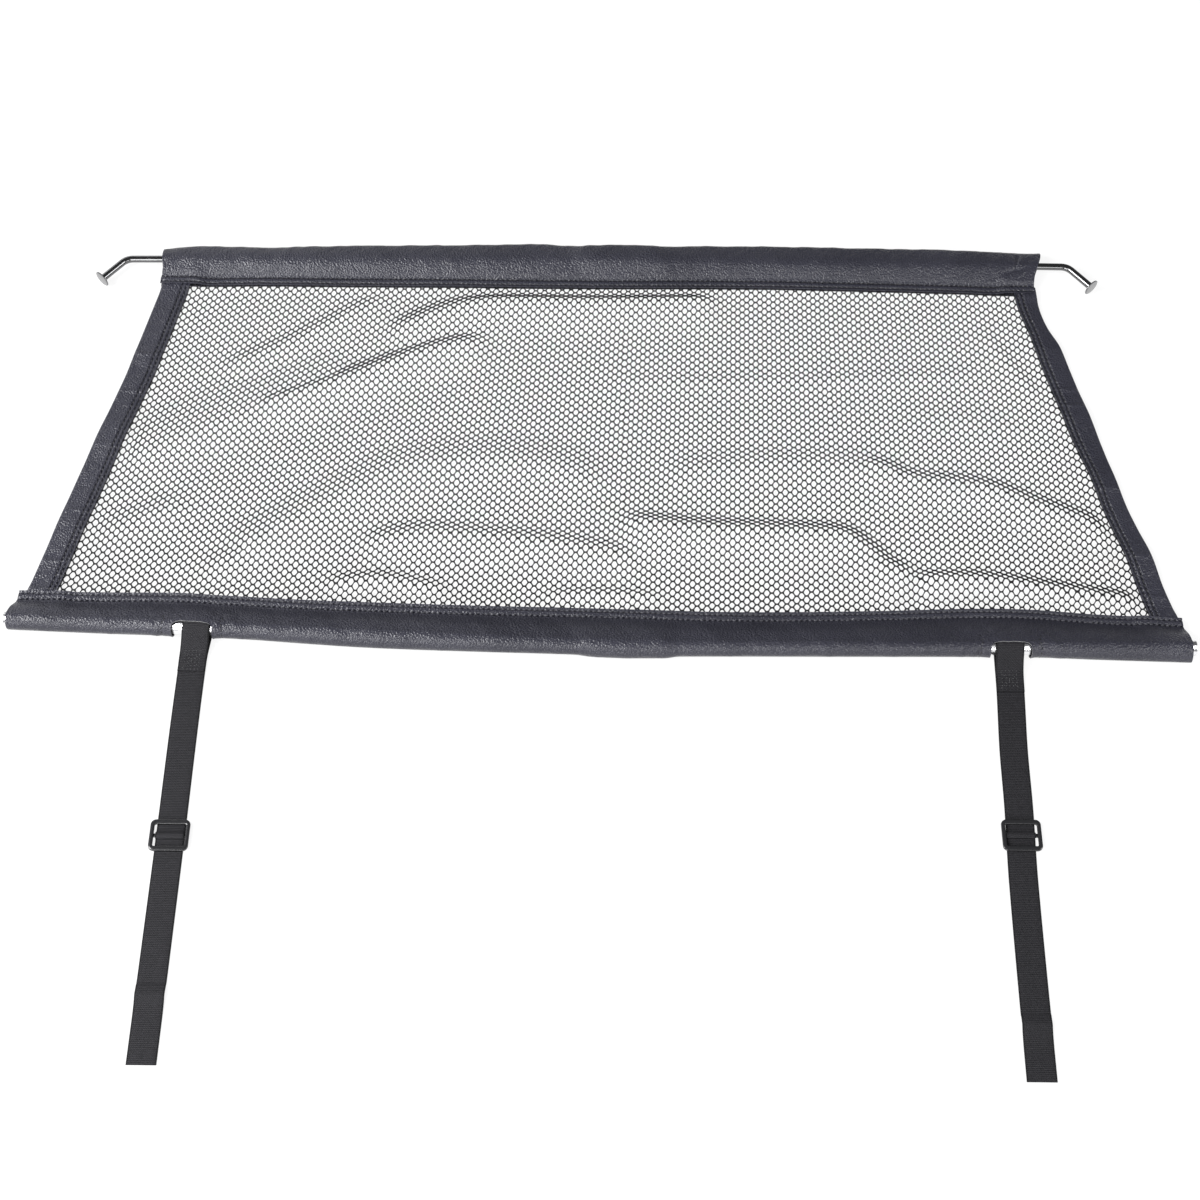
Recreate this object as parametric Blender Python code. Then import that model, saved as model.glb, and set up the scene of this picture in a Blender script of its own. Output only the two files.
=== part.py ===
"""Car dog barrier net, laid flat: a knitted mesh panel between a rod in a leatherette sleeve and
a tube in another, with folded side bindings and two webbing straps looped round the tube.

Lengths in this file are millimetres and are turned into metres where a mesh is made.
X runs along the top rod, Y from the straps towards the top rod, Z up from the floor.
Tables are in a drawing frame whose Y is zero at the joint of the bottom tube; the finished
objects are moved so that the origin is at the middle of the bounding box's underside.
"""
import math

import bmesh
import bpy
from mathutils import Vector

MM = 0.001
GAP = 0.3               # between neighbouring pieces
LEATHER = 1.2           # thickness of the leatherette
MESH_CLOTH = 1.2        # thickness of the knitted mesh
WEBBING = 1.3           # thickness of the strap webbing
STRAP_WIDTH = 28.5

# bottom tube: left end, joint and right end of its centre line (x, y)
TUBE_LINE = ((-614.6, 26.2), (28.4, 0.3), (611.0, 5.5))
TUBE_RADIUS = 8.0
TUBE_BORE = 6.8
TUBE_HEIGHT = 11.4      # centre line above the floor
TUBE_JOINER_RADIUS = 9.6
JOINER_LENGTH = 78.0

# top rod: left bend, joint and right bend of its centre line (x, y)
ROD_LINE = ((-550.7, 504.9), (20.0, 510.5), (532.7, 504.9))
ROD_RADIUS = 4.0
ROD_JOINER_RADIUS = 6.2
ROD_BEND_ANGLE = math.radians(50.0)
ROD_BEND_RADIUS = 16.0
ROD_ARM = 38.0          # from the corner of the bend to the middle of the disc
DISC_RADIUS = 9.5
DISC_THICKNESS = 2.5
ROD_HEIGHT = DISC_RADIUS

BAND = 12.0             # stitched hem of a sleeve, next to the mesh
SLOT = MESH_CLOTH + 2 * GAP                 # inside a hem that holds the mesh alone
BINDING_THICKNESS = 2 * LEATHER + SLOT
CORNER_RISE = 2 * (LEATHER + GAP)           # the hem opens by this to take a binding's end
BINDING_RISE = LEATHER + GAP                # a binding's end stands on the sleeve's lower layer
TUCK = 9.0              # how far mesh and bindings reach into a hem
CHORD = 1.0 / math.cos(math.radians(15.0))  # lets the leather's flats clear a round piece

# columns: x, far edge of the hem (y), slack of the leather in front of the tube
BOTTOM_SLEEVE = (
    (-614.0, 62.7, 1.0), (-568.0, 63.2, 1.0), (-507.0, 63.2, 0.8), (-437.0, 63.4, 0.0),
    (-402.0, 61.3, 0.0), (-355.0, 58.8, 0.4), (-307.0, 56.4, 1.8), (-250.0, 54.6, 3.0),
    (-200.0, 53.2, 3.0), (-115.0, 51.2, 2.0), (-42.0, 50.1, 0.8), (42.0, 48.5, 0.4),
    (128.0, 46.6, 0.0), (213.0, 47.5, 0.0), (298.0, 49.8, 0.0), (383.0, 53.2, 0.0),
    (447.0, 52.9, 0.4), (510.0, 48.2, 2.6), (572.0, 45.2, 4.4), (609.0, 42.8, 5.5),
)
# columns: x, near edge of the hem (y), far fold (y)
TOP_SLEEVE = (
    (-510.0, 472.6, 521.9), (-479.0, 473.0, 525.5), (-458.0, 472.4, 526.8), (-391.0, 473.8, 525.3),
    (-329.0, 473.7, 527.9), (-284.0, 473.6, 529.3), (-168.0, 474.1, 531.2), (-75.0, 473.7, 533.7),
    (-30.0, 473.8, 531.4), (18.0, 474.0, 533.4), (62.0, 474.5, 531.8), (111.0, 475.0, 532.7),
    (202.0, 475.0, 533.0), (296.0, 473.3, 531.5), (402.0, 471.0, 530.1), (459.0, 469.0, 527.0),
    (501.0, 468.8, 525.6),
)
# columns: y, outer edge (x), inner edge (x)
LEFT_BINDING = (
    (50.0, -603.0, -571.5), (115.0, -588.0, -557.0), (191.0, -570.5, -539.0), (270.0, -551.5, -520.5),
    (352.0, -531.0, -499.5), (408.0, -520.0, -488.0), (482.0, -505.0, -473.0),
)
RIGHT_BINDING = (
    (38.0, 603.5, 574.0), (81.0, 591.5, 564.0), (128.0, 581.0, 553.0), (178.0, 565.5, 539.0),
    (229.0, 553.5, 527.0), (282.0, 541.5, 511.5), (336.0, 528.5, 499.0), (391.0, 515.0, 486.0),
    (419.0, 504.0, 480.5), (447.0, 497.0, 473.5), (482.0, 494.5, 467.5),
)
# columns: y of the wave's crest, rise, half length along the binding
LEFT_WAVES = ((150.0, 1.4, 34.0), (262.0, 1.8, 40.0), (371.0, 1.5, 30.0))
RIGHT_WAVES = ((118.0, 2.6, 36.0), (214.0, 1.8, 34.0), (300.0, 2.4, 38.0), (396.0, 2.2, 34.0))

# folds of the mesh; columns: crest height, half width near side, half width far side, crest line
FOLDS = (
    (13.0, 52.0, 26.0, ((-524, 226), (-432, 274), (-339, 318), (-256, 352), (-187, 382), (-140, 402))),
    (11.0, 50.0, 22.0, ((-250, 398), (-177, 437), (-122, 453), (-17, 452), (112, 460), (215, 458))),
    (6.0, 46.0, 34.0, ((-433, 350), (-361, 387), (-290, 435), (-241, 463))),
    (11.0, 54.0, 32.0, ((-400, 110), (-324, 156), (-264, 195), (-207, 229), (-150, 246), (-90, 238))),
    (7.0, 38.0, 30.0, ((-543, 137), (-498, 152), (-430, 184))),
    (7.0, 32.0, 24.0, ((-428, 87), (-383, 110), (-330, 137))),
    (9.0, 44.0, 24.0, ((-255, 128), (-197, 138), (-130, 136), (-44, 131), (50, 120))),
    (8.0, 26.0, 20.0, ((-300, 72), (-249, 84), (-198, 84), (-150, 74))),
    (13.0, 52.0, 22.0, ((0, 154), (60, 148), (198, 143), (258, 134), (300, 105), (350, 83))),
    (10.0, 28.0, 20.0, ((330, 84), (405, 89), (481, 76), (545, 70))),
    (11.0, 48.0, 26.0, ((300, 216), (359, 205), (415, 201), (471, 172), (547, 147))),
    (7.0, 60.0, 44.0, ((110, 231), (217, 239), (300, 232))),
    (5.0, 60.0, 50.0, ((74, 336), (173, 357), (264, 369), (340, 372))),
    (5.0, 46.0, 40.0, ((325, 299), (423, 290), (475, 278))),
)
FOLD_FADE = 45.0        # a crest dies away over this length at each end
EDGE_FADE = 34.0        # and so does a fold towards a hem or binding

NOTCH_WIDTH = 42.0
NOTCH_TOP = 1.0         # the notch ends this far behind the tube's centre line
# columns: x of the notch
NOTCHES = (-419.2, 421.0)

# columns: y, x of the strap's middle
LEFT_STRAP_LINE = ((20.0, -414.0), (-16.0, -417.5), (-245.0, -417.5), (-438.0, -417.8))
RIGHT_STRAP_LINE = ((6.0, 420.0), (-40.0, 419.3), (-108.0, 416.4), (-170.0, 415.6), (-250.0, 413.0),
                    (-445.0, 411.5))
LAP = 70.0              # sewn lap of the loop, from the tube
GLIDE_SIZE = (39.0, 33.0, 3.0)
GLIDE_BAR = 5.0
GLIDE_SIDE = 4.0
GLIDE_MIDDLE_BAR = 4.0
GLIDE_MIDDLE_THICKNESS = 1.8
GLIDE_HEIGHT = WEBBING + GAP                # underside above the floor


def blend(t):
    """Smooth step from 0 to 1."""
    t = max(0.0, min(1.0, t))
    return t * t * (3.0 - 2.0 * t)


def value_at(table, x, column=1):
    """Smooth curve through a table's rows, read at x; rows run up in their first column."""
    rows = sorted((row[0], row[column]) for row in table)
    if x <= rows[0][0]:
        return rows[0][1]
    if x >= rows[-1][0]:
        return rows[-1][1]
    i = max(k for k in range(len(rows) - 1) if rows[k][0] <= x)

    def slope(k):
        a, b = rows[max(k - 1, 0)], rows[min(k + 1, len(rows) - 1)]
        return (b[1] - a[1]) / (b[0] - a[0])

    (x0, y0), (x1, y1) = rows[i], rows[i + 1]
    span = x1 - x0
    t = (x - x0) / span
    return (y0 * (1 + 2 * t) * (1 - t) ** 2 + y1 * t * t * (3 - 2 * t)
            + span * (slope(i) * t * (1 - t) ** 2 - slope(i + 1) * t * t * (1 - t)))


def line_at(line, x):
    """Y on a centre line made of two straight halves."""
    left, joint, right = line
    a, b = (left, joint) if x < joint[0] else (joint, right)
    return a[1] + (x - a[0]) * (b[1] - a[1]) / (b[0] - a[0])


def near_edge(x):
    """Edge of the bottom sleeve's hem, where the mesh comes out."""
    return value_at(BOTTOM_SLEEVE, x, 1)


def far_edge(x):
    """Edge of the top sleeve's hem, where the mesh comes out."""
    return value_at(TOP_SLEEVE, x, 1)


def wave_rise(waves, y):
    return sum(rise * blend(1.0 - abs(y - crest) / half) for crest, rise, half in waves)


# ---------------------------------------------------------------- objects and materials

def make_material(name, colour, roughness, metallic=0.0):
    material = bpy.data.materials.new(name)
    material.use_nodes = True
    shader = material.node_tree.nodes["Principled BSDF"]
    shader.inputs["Base Color"].default_value = (*colour, 1.0)
    shader.inputs["Roughness"].default_value = roughness
    shader.inputs["Metallic"].default_value = metallic
    return material


def add_object(name, bm, material, sharp_angle=40.0):
    """Make an object from a bmesh in millimetres, with its faces turned outwards."""
    bmesh.ops.recalc_face_normals(bm, faces=bm.faces[:])
    bmesh.ops.scale(bm, vec=(MM, MM, MM), verts=bm.verts[:])
    mesh = bpy.data.meshes.new(name)
    bm.to_mesh(mesh)
    bm.free()
    mesh.shade_smooth()
    mesh.set_sharp_from_angle(angle=math.radians(sharp_angle))
    mesh.materials.append(material)
    obj = bpy.data.objects.new(name, mesh)
    bpy.context.collection.objects.link(obj)
    return obj


def sheet_solid(name, upper, lower, material):
    """Closed sheet between two grids of points with the same rows and columns."""
    bm = bmesh.new()
    top = [[bm.verts.new(p) for p in row] for row in upper]
    under = [[bm.verts.new(p) for p in row] for row in lower]
    rows, columns = len(top), len(top[0])
    for grid in (top, under):
        for i in range(rows - 1):
            for j in range(columns - 1):
                bm.faces.new((grid[i][j], grid[i + 1][j], grid[i + 1][j + 1], grid[i][j + 1]))
    for j in range(columns - 1):
        for i in (0, rows - 1):
            bm.faces.new((top[i][j], top[i][j + 1], under[i][j + 1], under[i][j]))
    for i in range(rows - 1):
        for j in (0, columns - 1):
            bm.faces.new((top[i][j], top[i + 1][j], under[i + 1][j], under[i][j]))
    return add_object(name, bm, material)


def offset_path(points, distance):
    """Points moved sideways (to the right of the way they run) by an even distance."""
    moved = []
    for i, point in enumerate(points):
        before = points[max(i - 1, 0)]
        after = points[min(i + 1, len(points) - 1)]
        incoming = Vector((point[0] - before[0], point[1] - before[1]))
        outgoing = Vector((after[0] - point[0], after[1] - point[1]))
        incoming = (incoming if incoming.length else outgoing).normalized()
        outgoing = (outgoing if outgoing.length else incoming).normalized()
        middle = (incoming + outgoing).normalized()
        reach = distance / max(0.5, middle.dot(incoming))
        moved.append((point[0] + middle.y * reach, point[1] - middle.x * reach))
    return moved


def round_bar(name, path, radius, sides, material, bore=0.0):
    """Bar or tube along a path; each ring stands on the plane that halves its corner."""
    bm = bmesh.new()
    points = [Vector(p) for p in path]
    walls = [radius] + ([bore] if bore else [])
    rings = [[] for _ in walls]
    for i, point in enumerate(points):
        incoming = (point - points[i - 1]).normalized() if i else None
        outgoing = (points[i + 1] - point).normalized() if i < len(points) - 1 else None
        along = ((incoming or outgoing) + (outgoing or incoming)).normalized()
        side = Vector((0.0, 0.0, 1.0)).cross(along).normalized()
        stretch = 1.0 / along.dot(incoming or outgoing)
        for wall, wall_radius in enumerate(walls):
            ring = []
            for k in range(sides):
                angle = 2.0 * math.pi * (k + 0.5) / sides
                ring.append(bm.verts.new(point + side * (math.cos(angle) * wall_radius * stretch)
                                         + Vector((0.0, 0.0, math.sin(angle) * wall_radius))))
            rings[wall].append(ring)
    for wall in rings:
        for a, b in zip(wall, wall[1:]):
            for k in range(sides):
                n = (k + 1) % sides
                bm.faces.new((a[k], a[n], b[n], b[k]))
    for end in (0, -1):
        if bore:
            for k in range(sides):
                n = (k + 1) % sides
                bm.faces.new((rings[0][end][k], rings[0][end][n], rings[1][end][n], rings[1][end][k]))
        else:
            bm.faces.new(rings[0][end])
    return add_object(name, bm, material)


def box(name, low, high, material=None, bevel=0.0):
    bm = bmesh.new()
    bmesh.ops.create_cube(bm, size=1.0)
    for vert in bm.verts:
        vert.co = Vector([(low[k] + high[k]) / 2.0 + vert.co[k] * (high[k] - low[k]) for k in range(3)])
    if bevel:
        upright = [e for e in bm.edges if abs(e.verts[0].co.z - e.verts[1].co.z) > 0.01]
        bmesh.ops.bevel(bm, geom=upright, offset=bevel, segments=3, profile=0.5, affect="EDGES")
    return add_object(name, bm, material or make_material(name, (0.5, 0.5, 0.5), 0.5))


def cut(obj, cutter):
    """Cut one object with another, which stays in the file as a wire guide."""
    cutter.hide_render = True
    cutter.display_type = "WIRE"
    modifier = obj.modifiers.new(cutter.name, "BOOLEAN")
    modifier.operation = "DIFFERENCE"
    modifier.solver = "EXACT"
    modifier.object = cutter


# ---------------------------------------------------------------- sleeves

def hem_rise(x, band_y):
    """How far the hem's upper layer is lifted, at a corner, by the binding's end inside it."""
    inner_left = value_at(LEFT_BINDING, band_y, 2)
    inner_right = value_at(RIGHT_BINDING, band_y, 2)
    clear, start = 5.0, 24.0
    inside = min(x - inner_left, inner_right - x)
    return CORNER_RISE * (1.0 - blend((inside - clear) / (start - clear)))


def close_to(x, places, half, ramp):
    """1 within half of a place, falling to 0 over the ramp."""
    return max(1.0 - blend((abs(x - place) - half) / ramp) for place in places)


def strip_sections(stations, outline, skew):
    """Outer and inner rows of points of a folded strip of leatherette."""
    outer, inner = [], []
    for x in stations:
        path = outline(x)
        inward = LEATHER if path[1][0] > path[0][0] else -LEATHER
        moved = offset_path(path, inward)
        outer.append([(x + skew(x, y), y, z) for y, z in path])
        inner.append([(x + skew(x, y), y, z) for y, z in moved])
    return outer, inner


def bottom_outline(x):
    """Section of the bottom sleeve: hem, over the tube, round its front and back underneath."""
    tube_y = line_at(TUBE_LINE, x)
    edge = near_edge(x)
    slack = value_at(BOTTOM_SLEEVE, x, 2)
    hem_z = BINDING_THICKNESS + hem_rise(x, edge)
    joiner = close_to(x, (TUBE_LINE[1][0],), JOINER_LENGTH / 2 + 1.0, 8.0)
    loop = close_to(x, NOTCHES, NOTCH_WIDTH / 2, 20.0)
    snug = (TUBE_RADIUS + GAP) * CHORD + LEATHER
    wide = (TUBE_RADIUS + WEBBING + 2.5 * GAP) * CHORD + LEATHER
    radius = snug + (wide - snug) * max(joiner, loop)
    path = [(edge, hem_z), (edge - BAND, hem_z), (edge - BAND - 3.5, hem_z + 2.2)]
    shoulder = (tube_y + radius * math.cos(math.radians(60.0)),
                TUBE_HEIGHT + radius * math.sin(math.radians(60.0)))
    path.append(((path[-1][0] + shoulder[0]) / 2, (path[-1][1] + shoulder[1]) / 2 + 1.6))
    for degrees in (60, 90, 120, 150, 180, 215):
        angle = math.radians(degrees)
        lean = slack * (1.0 - math.cos(math.radians(max(0.0, degrees - 90.0)))) / 1.4
        path.append((tube_y + radius * math.cos(angle) - lean, TUBE_HEIGHT + radius * math.sin(angle)))
    path += [(tube_y - 0.45 * radius - slack, 0.0), (tube_y + 0.3 * (edge - tube_y), 0.0),
             (edge - BAND, 0.0), (edge, 0.0)]
    return path


def bottom_skew(x, y):
    """The sleeve's ends are cut back towards the hem."""
    back = blend((y - line_at(TUBE_LINE, x)) / 34.0)
    return 8.0 * back * blend((-560.0 - x) / 50.0) - 5.0 * back * blend((x - 560.0) / 45.0)


def top_outline(x):
    """Section of the top sleeve: hem, over the rod, round the far fold and back underneath."""
    rod_y = line_at(ROD_LINE, x)
    edge = far_edge(x)
    fold = value_at(TOP_SLEEVE, x, 2)
    hem_z = BINDING_THICKNESS + hem_rise(x, edge)
    crown = ROD_HEIGHT + ROD_RADIUS + 2 * GAP + LEATHER
    crown += (ROD_JOINER_RADIUS - ROD_RADIUS) * close_to(x, (ROD_LINE[1][0],), JOINER_LENGTH / 2 + 1.0, 9.0)
    start = edge + BAND
    return [(edge, hem_z), (start, hem_z), (start + 3.5, hem_z + 3.0), (rod_y - 10.0, crown - 2.2),
            (rod_y - 3.5, crown), (rod_y + 4.0, crown), (fold - 6.5, crown - 2.2), (fold - 1.8, 9.8),
            (fold, 6.4), (fold - 1.6, 2.6), (fold - 5.5, 0.0), (rod_y - 8.0, 0.0), (start, 0.0), (edge, 0.0)]


def top_skew(x, y):
    """The right end slants back towards the hem; the left end is nearly square."""
    back = blend((522.0 - y) / 40.0)
    return -8.0 * back * blend((x - 440.0) / 60.0)


def sleeve_stations(low, high, marks):
    """Stations along a sleeve: even steps with extra ones at the marks."""
    steps = 15
    even = [low + (high - low) * k / steps for k in range(steps + 1)]
    kept = [x for x in even[1:-1] if all(abs(x - mark) > 14.0 for mark in marks)]
    return sorted([low, high] + kept + [m for m in marks if low + 4.0 < m < high - 4.0])


def make_bottom_sleeve(material):
    joint_x = TUBE_LINE[1][0]
    half = JOINER_LENGTH / 2
    left, right = value_at(LEFT_BINDING, 58.0, 2), value_at(RIGHT_BINDING, 46.0, 2)
    marks = [joint_x - half - 9, joint_x - half - 1, joint_x, joint_x + half + 1, joint_x + half + 9,
             left + 5, left + 12, left + 18, left + 24, right - 5, right - 12, right - 18, right - 24]
    for notch in NOTCHES:
        for reach in (NOTCH_WIDTH / 2, NOTCH_WIDTH / 2 + 20.0):
            marks += [notch - reach, notch + reach]
    stations = sleeve_stations(-614.0, 609.0, marks)
    sleeve = sheet_solid("bottom_sleeve", *strip_sections(stations, bottom_outline, bottom_skew), material)
    for side, notch in zip(("left", "right"), NOTCHES):
        tube_y = line_at(TUBE_LINE, notch)
        cutter = box("notch_cutter_" + side, (notch - NOTCH_WIDTH / 2, tube_y - 40.0, -5.0),
                     (notch + NOTCH_WIDTH / 2, tube_y + NOTCH_TOP, 40.0), bevel=4.0)
        cut(sleeve, cutter)
    return sleeve


def make_top_sleeve(material):
    joint_x = ROD_LINE[1][0]
    half = JOINER_LENGTH / 2
    left, right = value_at(LEFT_BINDING, 473.0, 2), value_at(RIGHT_BINDING, 470.0, 2)
    marks = [joint_x - half - 10, joint_x - half - 1, joint_x, joint_x + half + 1, joint_x + half + 10,
             left + 5, left + 12, left + 18, left + 24, right - 5, right - 12, right - 18, right - 24]
    stations = sleeve_stations(-509.0, 503.0, marks)
    return sheet_solid("top_sleeve", *strip_sections(stations, top_outline, top_skew), material)


# ---------------------------------------------------------------- mesh panel and bindings

NEAR_ROWS = (-TUCK, 2.0, 14.0)
MIDDLE_ROWS = 15
SIDE_COLUMNS = (-14.0, 1.0, 3.0, 16.0)
MIDDLE_COLUMNS = 36


def row_y(row, x):
    """Y of one of the rows shared by the mesh and the bindings."""
    near, far = near_edge(x), far_edge(x)
    last = len(NEAR_ROWS) * 2 + MIDDLE_ROWS - 1
    if row < len(NEAR_ROWS):
        return near + NEAR_ROWS[row]
    if row > last - len(NEAR_ROWS):
        return far - NEAR_ROWS[last - row]
    t = (row - len(NEAR_ROWS) + 1) / (MIDDLE_ROWS + 1)
    low, high = near + NEAR_ROWS[-1], far - NEAR_ROWS[-1]
    return low + (high - low) * t


def all_rows():
    return range(len(NEAR_ROWS) * 2 + MIDDLE_ROWS)


def in_hem(row):
    """The two rows at each end that lie in a sleeve's hem or just outside it."""
    return row < 2 or row > len(NEAR_ROWS) * 2 + MIDDLE_ROWS - 3


def binding_rise(waves, row, y):
    return BINDING_RISE if in_hem(row) else wave_rise(waves, y)


def fold_height(x, y):
    """Height of the mesh above the floor away from its edges."""
    height = 0.0
    for crest, near_half, far_half, line in FOLDS:
        height = max(height, ridge(x, y, crest, near_half, far_half, line))
    return height


def ridge(x, y, crest, near_half, far_half, line):
    """Height of one fold: a smooth ridge along its crest line, dying away at both ends."""
    place = Vector((x, y))
    total = sum((Vector(b) - Vector(a)).length for a, b in zip(line, line[1:]))
    best, travelled = None, 0.0
    for a, b in zip(line, line[1:]):
        a, b = Vector(a), Vector(b)
        along = (b - a).normalized()
        t = max(0.0, min((b - a).length, (place - a).dot(along)))
        offset = place - (a + along * t)
        if best is None or offset.length < best[0]:
            best = (offset.length, travelled + t, along.x * offset.y - along.y * offset.x)
        travelled += (b - a).length
    distance, run, side = best
    half = far_half if side > 0 else near_half
    ends = blend(min(run, total - run) / FOLD_FADE + 0.25)
    return crest * ends * blend(1.0 - distance / half)


def mesh_height(x, y, row, column, columns):
    """Underside of the mesh at one of its grid points."""
    left_side = column < len(SIDE_COLUMNS)
    from_edge = column if left_side else columns - 1 - column
    waves = LEFT_WAVES if left_side else RIGHT_WAVES
    held = LEATHER + GAP
    if from_edge < 3:
        return held + binding_rise(waves, row, y)
    if in_hem(row):
        return held
    inside = min(x - value_at(LEFT_BINDING, y, 2), value_at(RIGHT_BINDING, y, 2) - x,
                 y - near_edge(x), far_edge(x) - y)
    return fold_height(x, y) * blend(inside / EDGE_FADE)


def make_net(material):
    upper, lower = [], []
    columns = 2 * len(SIDE_COLUMNS) + MIDDLE_COLUMNS
    for row in all_rows():
        left_y, right_y = row_y(row, -520.0), row_y(row, 520.0)
        left, right = value_at(LEFT_BINDING, left_y, 2), value_at(RIGHT_BINDING, right_y, 2)
        low, high = left + SIDE_COLUMNS[-1], right - SIDE_COLUMNS[-1]
        places = [left + c for c in SIDE_COLUMNS]
        places += [low + (high - low) * (k + 1) / (MIDDLE_COLUMNS + 1) for k in range(MIDDLE_COLUMNS)]
        places += [right - c for c in reversed(SIDE_COLUMNS)]
        under = []
        for column, x in enumerate(places):
            y = row_y(row, x)
            under.append((x, y, mesh_height(x, y, row, column, columns)))
        lower.append(under)
        upper.append([(x, y, z + MESH_CLOTH) for x, y, z in under])
    return sheet_solid("net", upper, lower, material)


def make_binding(name, table, waves, side, material):
    """Strip folded over the mesh's side edge; side is -1 on the left and 1 on the right."""
    outer_rows, inner_rows = [], []
    for row in all_rows():
        y = row_y(row, side * 520.0)
        edge, inner = value_at(table, y, 1), value_at(table, y, 2)
        rise = binding_rise(waves, row, y)
        width = abs(edge - inner)
        top = BINDING_THICKNESS
        outer = [(width, top), (2.0, top), (0.5, top - 0.7), (0.0, top / 2), (0.5, 0.7), (2.0, 0.0),
                 (width, 0.0)]
        inside = [(width, top - LEATHER), (2.2, top - LEATHER), (1.5, top - LEATHER - 0.3),
                  (1.2, top / 2), (1.5, LEATHER + 0.3), (2.2, LEATHER), (width, LEATHER)]
        for rows, points in ((outer_rows, outer), (inner_rows, inside)):
            section = []
            for reach, z in points:
                x = edge - side * reach
                section.append((x, row_y(row, x), z + rise))
            rows.append(section)
    return sheet_solid(name, outer_rows, inner_rows, material)


# ---------------------------------------------------------------- rod, tube and their ends

def make_joiner(name, line, height, bore, radius, material):
    """Ferrule over the joint of two halves, bent as they are."""
    x = line[1][0]
    half = JOINER_LENGTH / 2
    path = [(p, line_at(line, p), height) for p in (x - half, x, x + half)]
    return round_bar(name, path, radius, 16, material, bore=bore)


def make_rod_half(side, material):
    """Half of the top rod with its bent arm; side is -1 on the left and 1 on the right."""
    joint = Vector((ROD_LINE[1][0], ROD_LINE[1][1], ROD_HEIGHT))
    end = ROD_LINE[0] if side < 0 else ROD_LINE[2]
    corner = Vector((end[0], end[1], ROD_HEIGHT))
    arm = Vector((side * math.cos(ROD_BEND_ANGLE), -math.sin(ROD_BEND_ANGLE), 0.0))
    run = (corner - joint).normalized()
    setback = ROD_BEND_RADIUS * math.tan(ROD_BEND_ANGLE / 2)
    path = [joint + run * (GAP / 2 + 0.2)]
    steps = 6
    for k in range(steps + 1):
        t = k / steps
        a, b = corner - run * setback, corner + arm * setback
        path.append(a * (1 - t) ** 2 + corner * 2 * t * (1 - t) + b * t * t)
    path.append(corner + arm * (ROD_ARM - DISC_THICKNESS / 2 - GAP))
    name = "top_rod_left" if side < 0 else "top_rod_right"
    round_bar(name, path, ROD_RADIUS, 12, material)
    return corner, arm


def make_disc(name, corner, arm, material):
    """Thin round head on the arm's end, with its rim eased."""
    bm = bmesh.new()
    sides = 28
    across = Vector((0.0, 0.0, 1.0)).cross(arm).normalized()
    rings = []
    ease = 0.5
    for along, radius in ((-DISC_THICKNESS / 2, DISC_RADIUS - ease), (-DISC_THICKNESS / 2 + ease, DISC_RADIUS),
                          (DISC_THICKNESS / 2 - ease, DISC_RADIUS), (DISC_THICKNESS / 2, DISC_RADIUS - ease)):
        centre = corner + arm * (ROD_ARM + along)
        rings.append([bm.verts.new(centre + across * (math.cos(2 * math.pi * k / sides) * radius)
                                   + Vector((0.0, 0.0, math.sin(2 * math.pi * k / sides) * radius)))
                      for k in range(sides)])
    for a, b in zip(rings, rings[1:]):
        for k in range(sides):
            n = (k + 1) % sides
            bm.faces.new((a[k], a[n], b[n], b[k]))
    bm.faces.new(rings[0])
    bm.faces.new(rings[-1])
    return add_object(name, bm, material)


def make_tube_half(side, material):
    joint_x = TUBE_LINE[1][0]
    end = TUBE_LINE[0] if side < 0 else TUBE_LINE[2]
    start_x = joint_x + side * (GAP / 2 + 0.3)
    path = [(start_x, line_at(TUBE_LINE, start_x), TUBE_HEIGHT), (end[0], end[1], TUBE_HEIGHT)]
    name = "bottom_tube_left" if side < 0 else "bottom_tube_right"
    return round_bar(name, path, TUBE_RADIUS, 20, material, bore=TUBE_BORE)


# ---------------------------------------------------------------- straps and slides

def strap_path(tube_y, glide_y, crease_y, end_y):
    """Middle line of the webbing in the plane of its length, from the lap's hidden end on."""
    low = WEBBING / 2
    loop = (TUBE_RADIUS + GAP) / math.cos(math.radians(10.0)) + WEBBING / 2
    lap_end = tube_y - LAP
    path = [(lap_end, low), (tube_y - 40.0, low), (tube_y - 20.0, low + 0.2), (tube_y - 9.0, low + 0.8)]
    for degrees in range(280, 441, 20):
        angle = math.radians(degrees)
        path.append((tube_y + loop * math.cos(angle), TUBE_HEIGHT + loop * math.sin(angle)))
    for degrees in (100, 120, 138):
        angle = math.radians(degrees)
        path.append((tube_y + loop * math.cos(angle), TUBE_HEIGHT + loop * math.sin(angle)))
    over = low + WEBBING + GAP
    path += [(tube_y - 15.0, 10.0), (tube_y - 26.0, over + 1.6), (tube_y - 40.0, over), (lap_end - 1.0, over),
             (lap_end - 9.0, low)]
    hump = GLIDE_HEIGHT + GLIDE_MIDDLE_THICKNESS + GAP + WEBBING / 2
    window = GLIDE_SIZE[1] / 2 - GLIDE_BAR - 1.5
    crest = GLIDE_MIDDLE_BAR / 2 + 0.8
    path += [(glide_y + window, low), (glide_y + crest, hump), (glide_y - crest, hump), (glide_y - window, low)]
    path += [(crease_y + 26.0, low), (crease_y + 9.0, low + 1.4), (crease_y, low + 3.0),
             (crease_y - 8.0, low + 1.2), (crease_y - 24.0, low), (end_y, low)]
    return path


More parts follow.
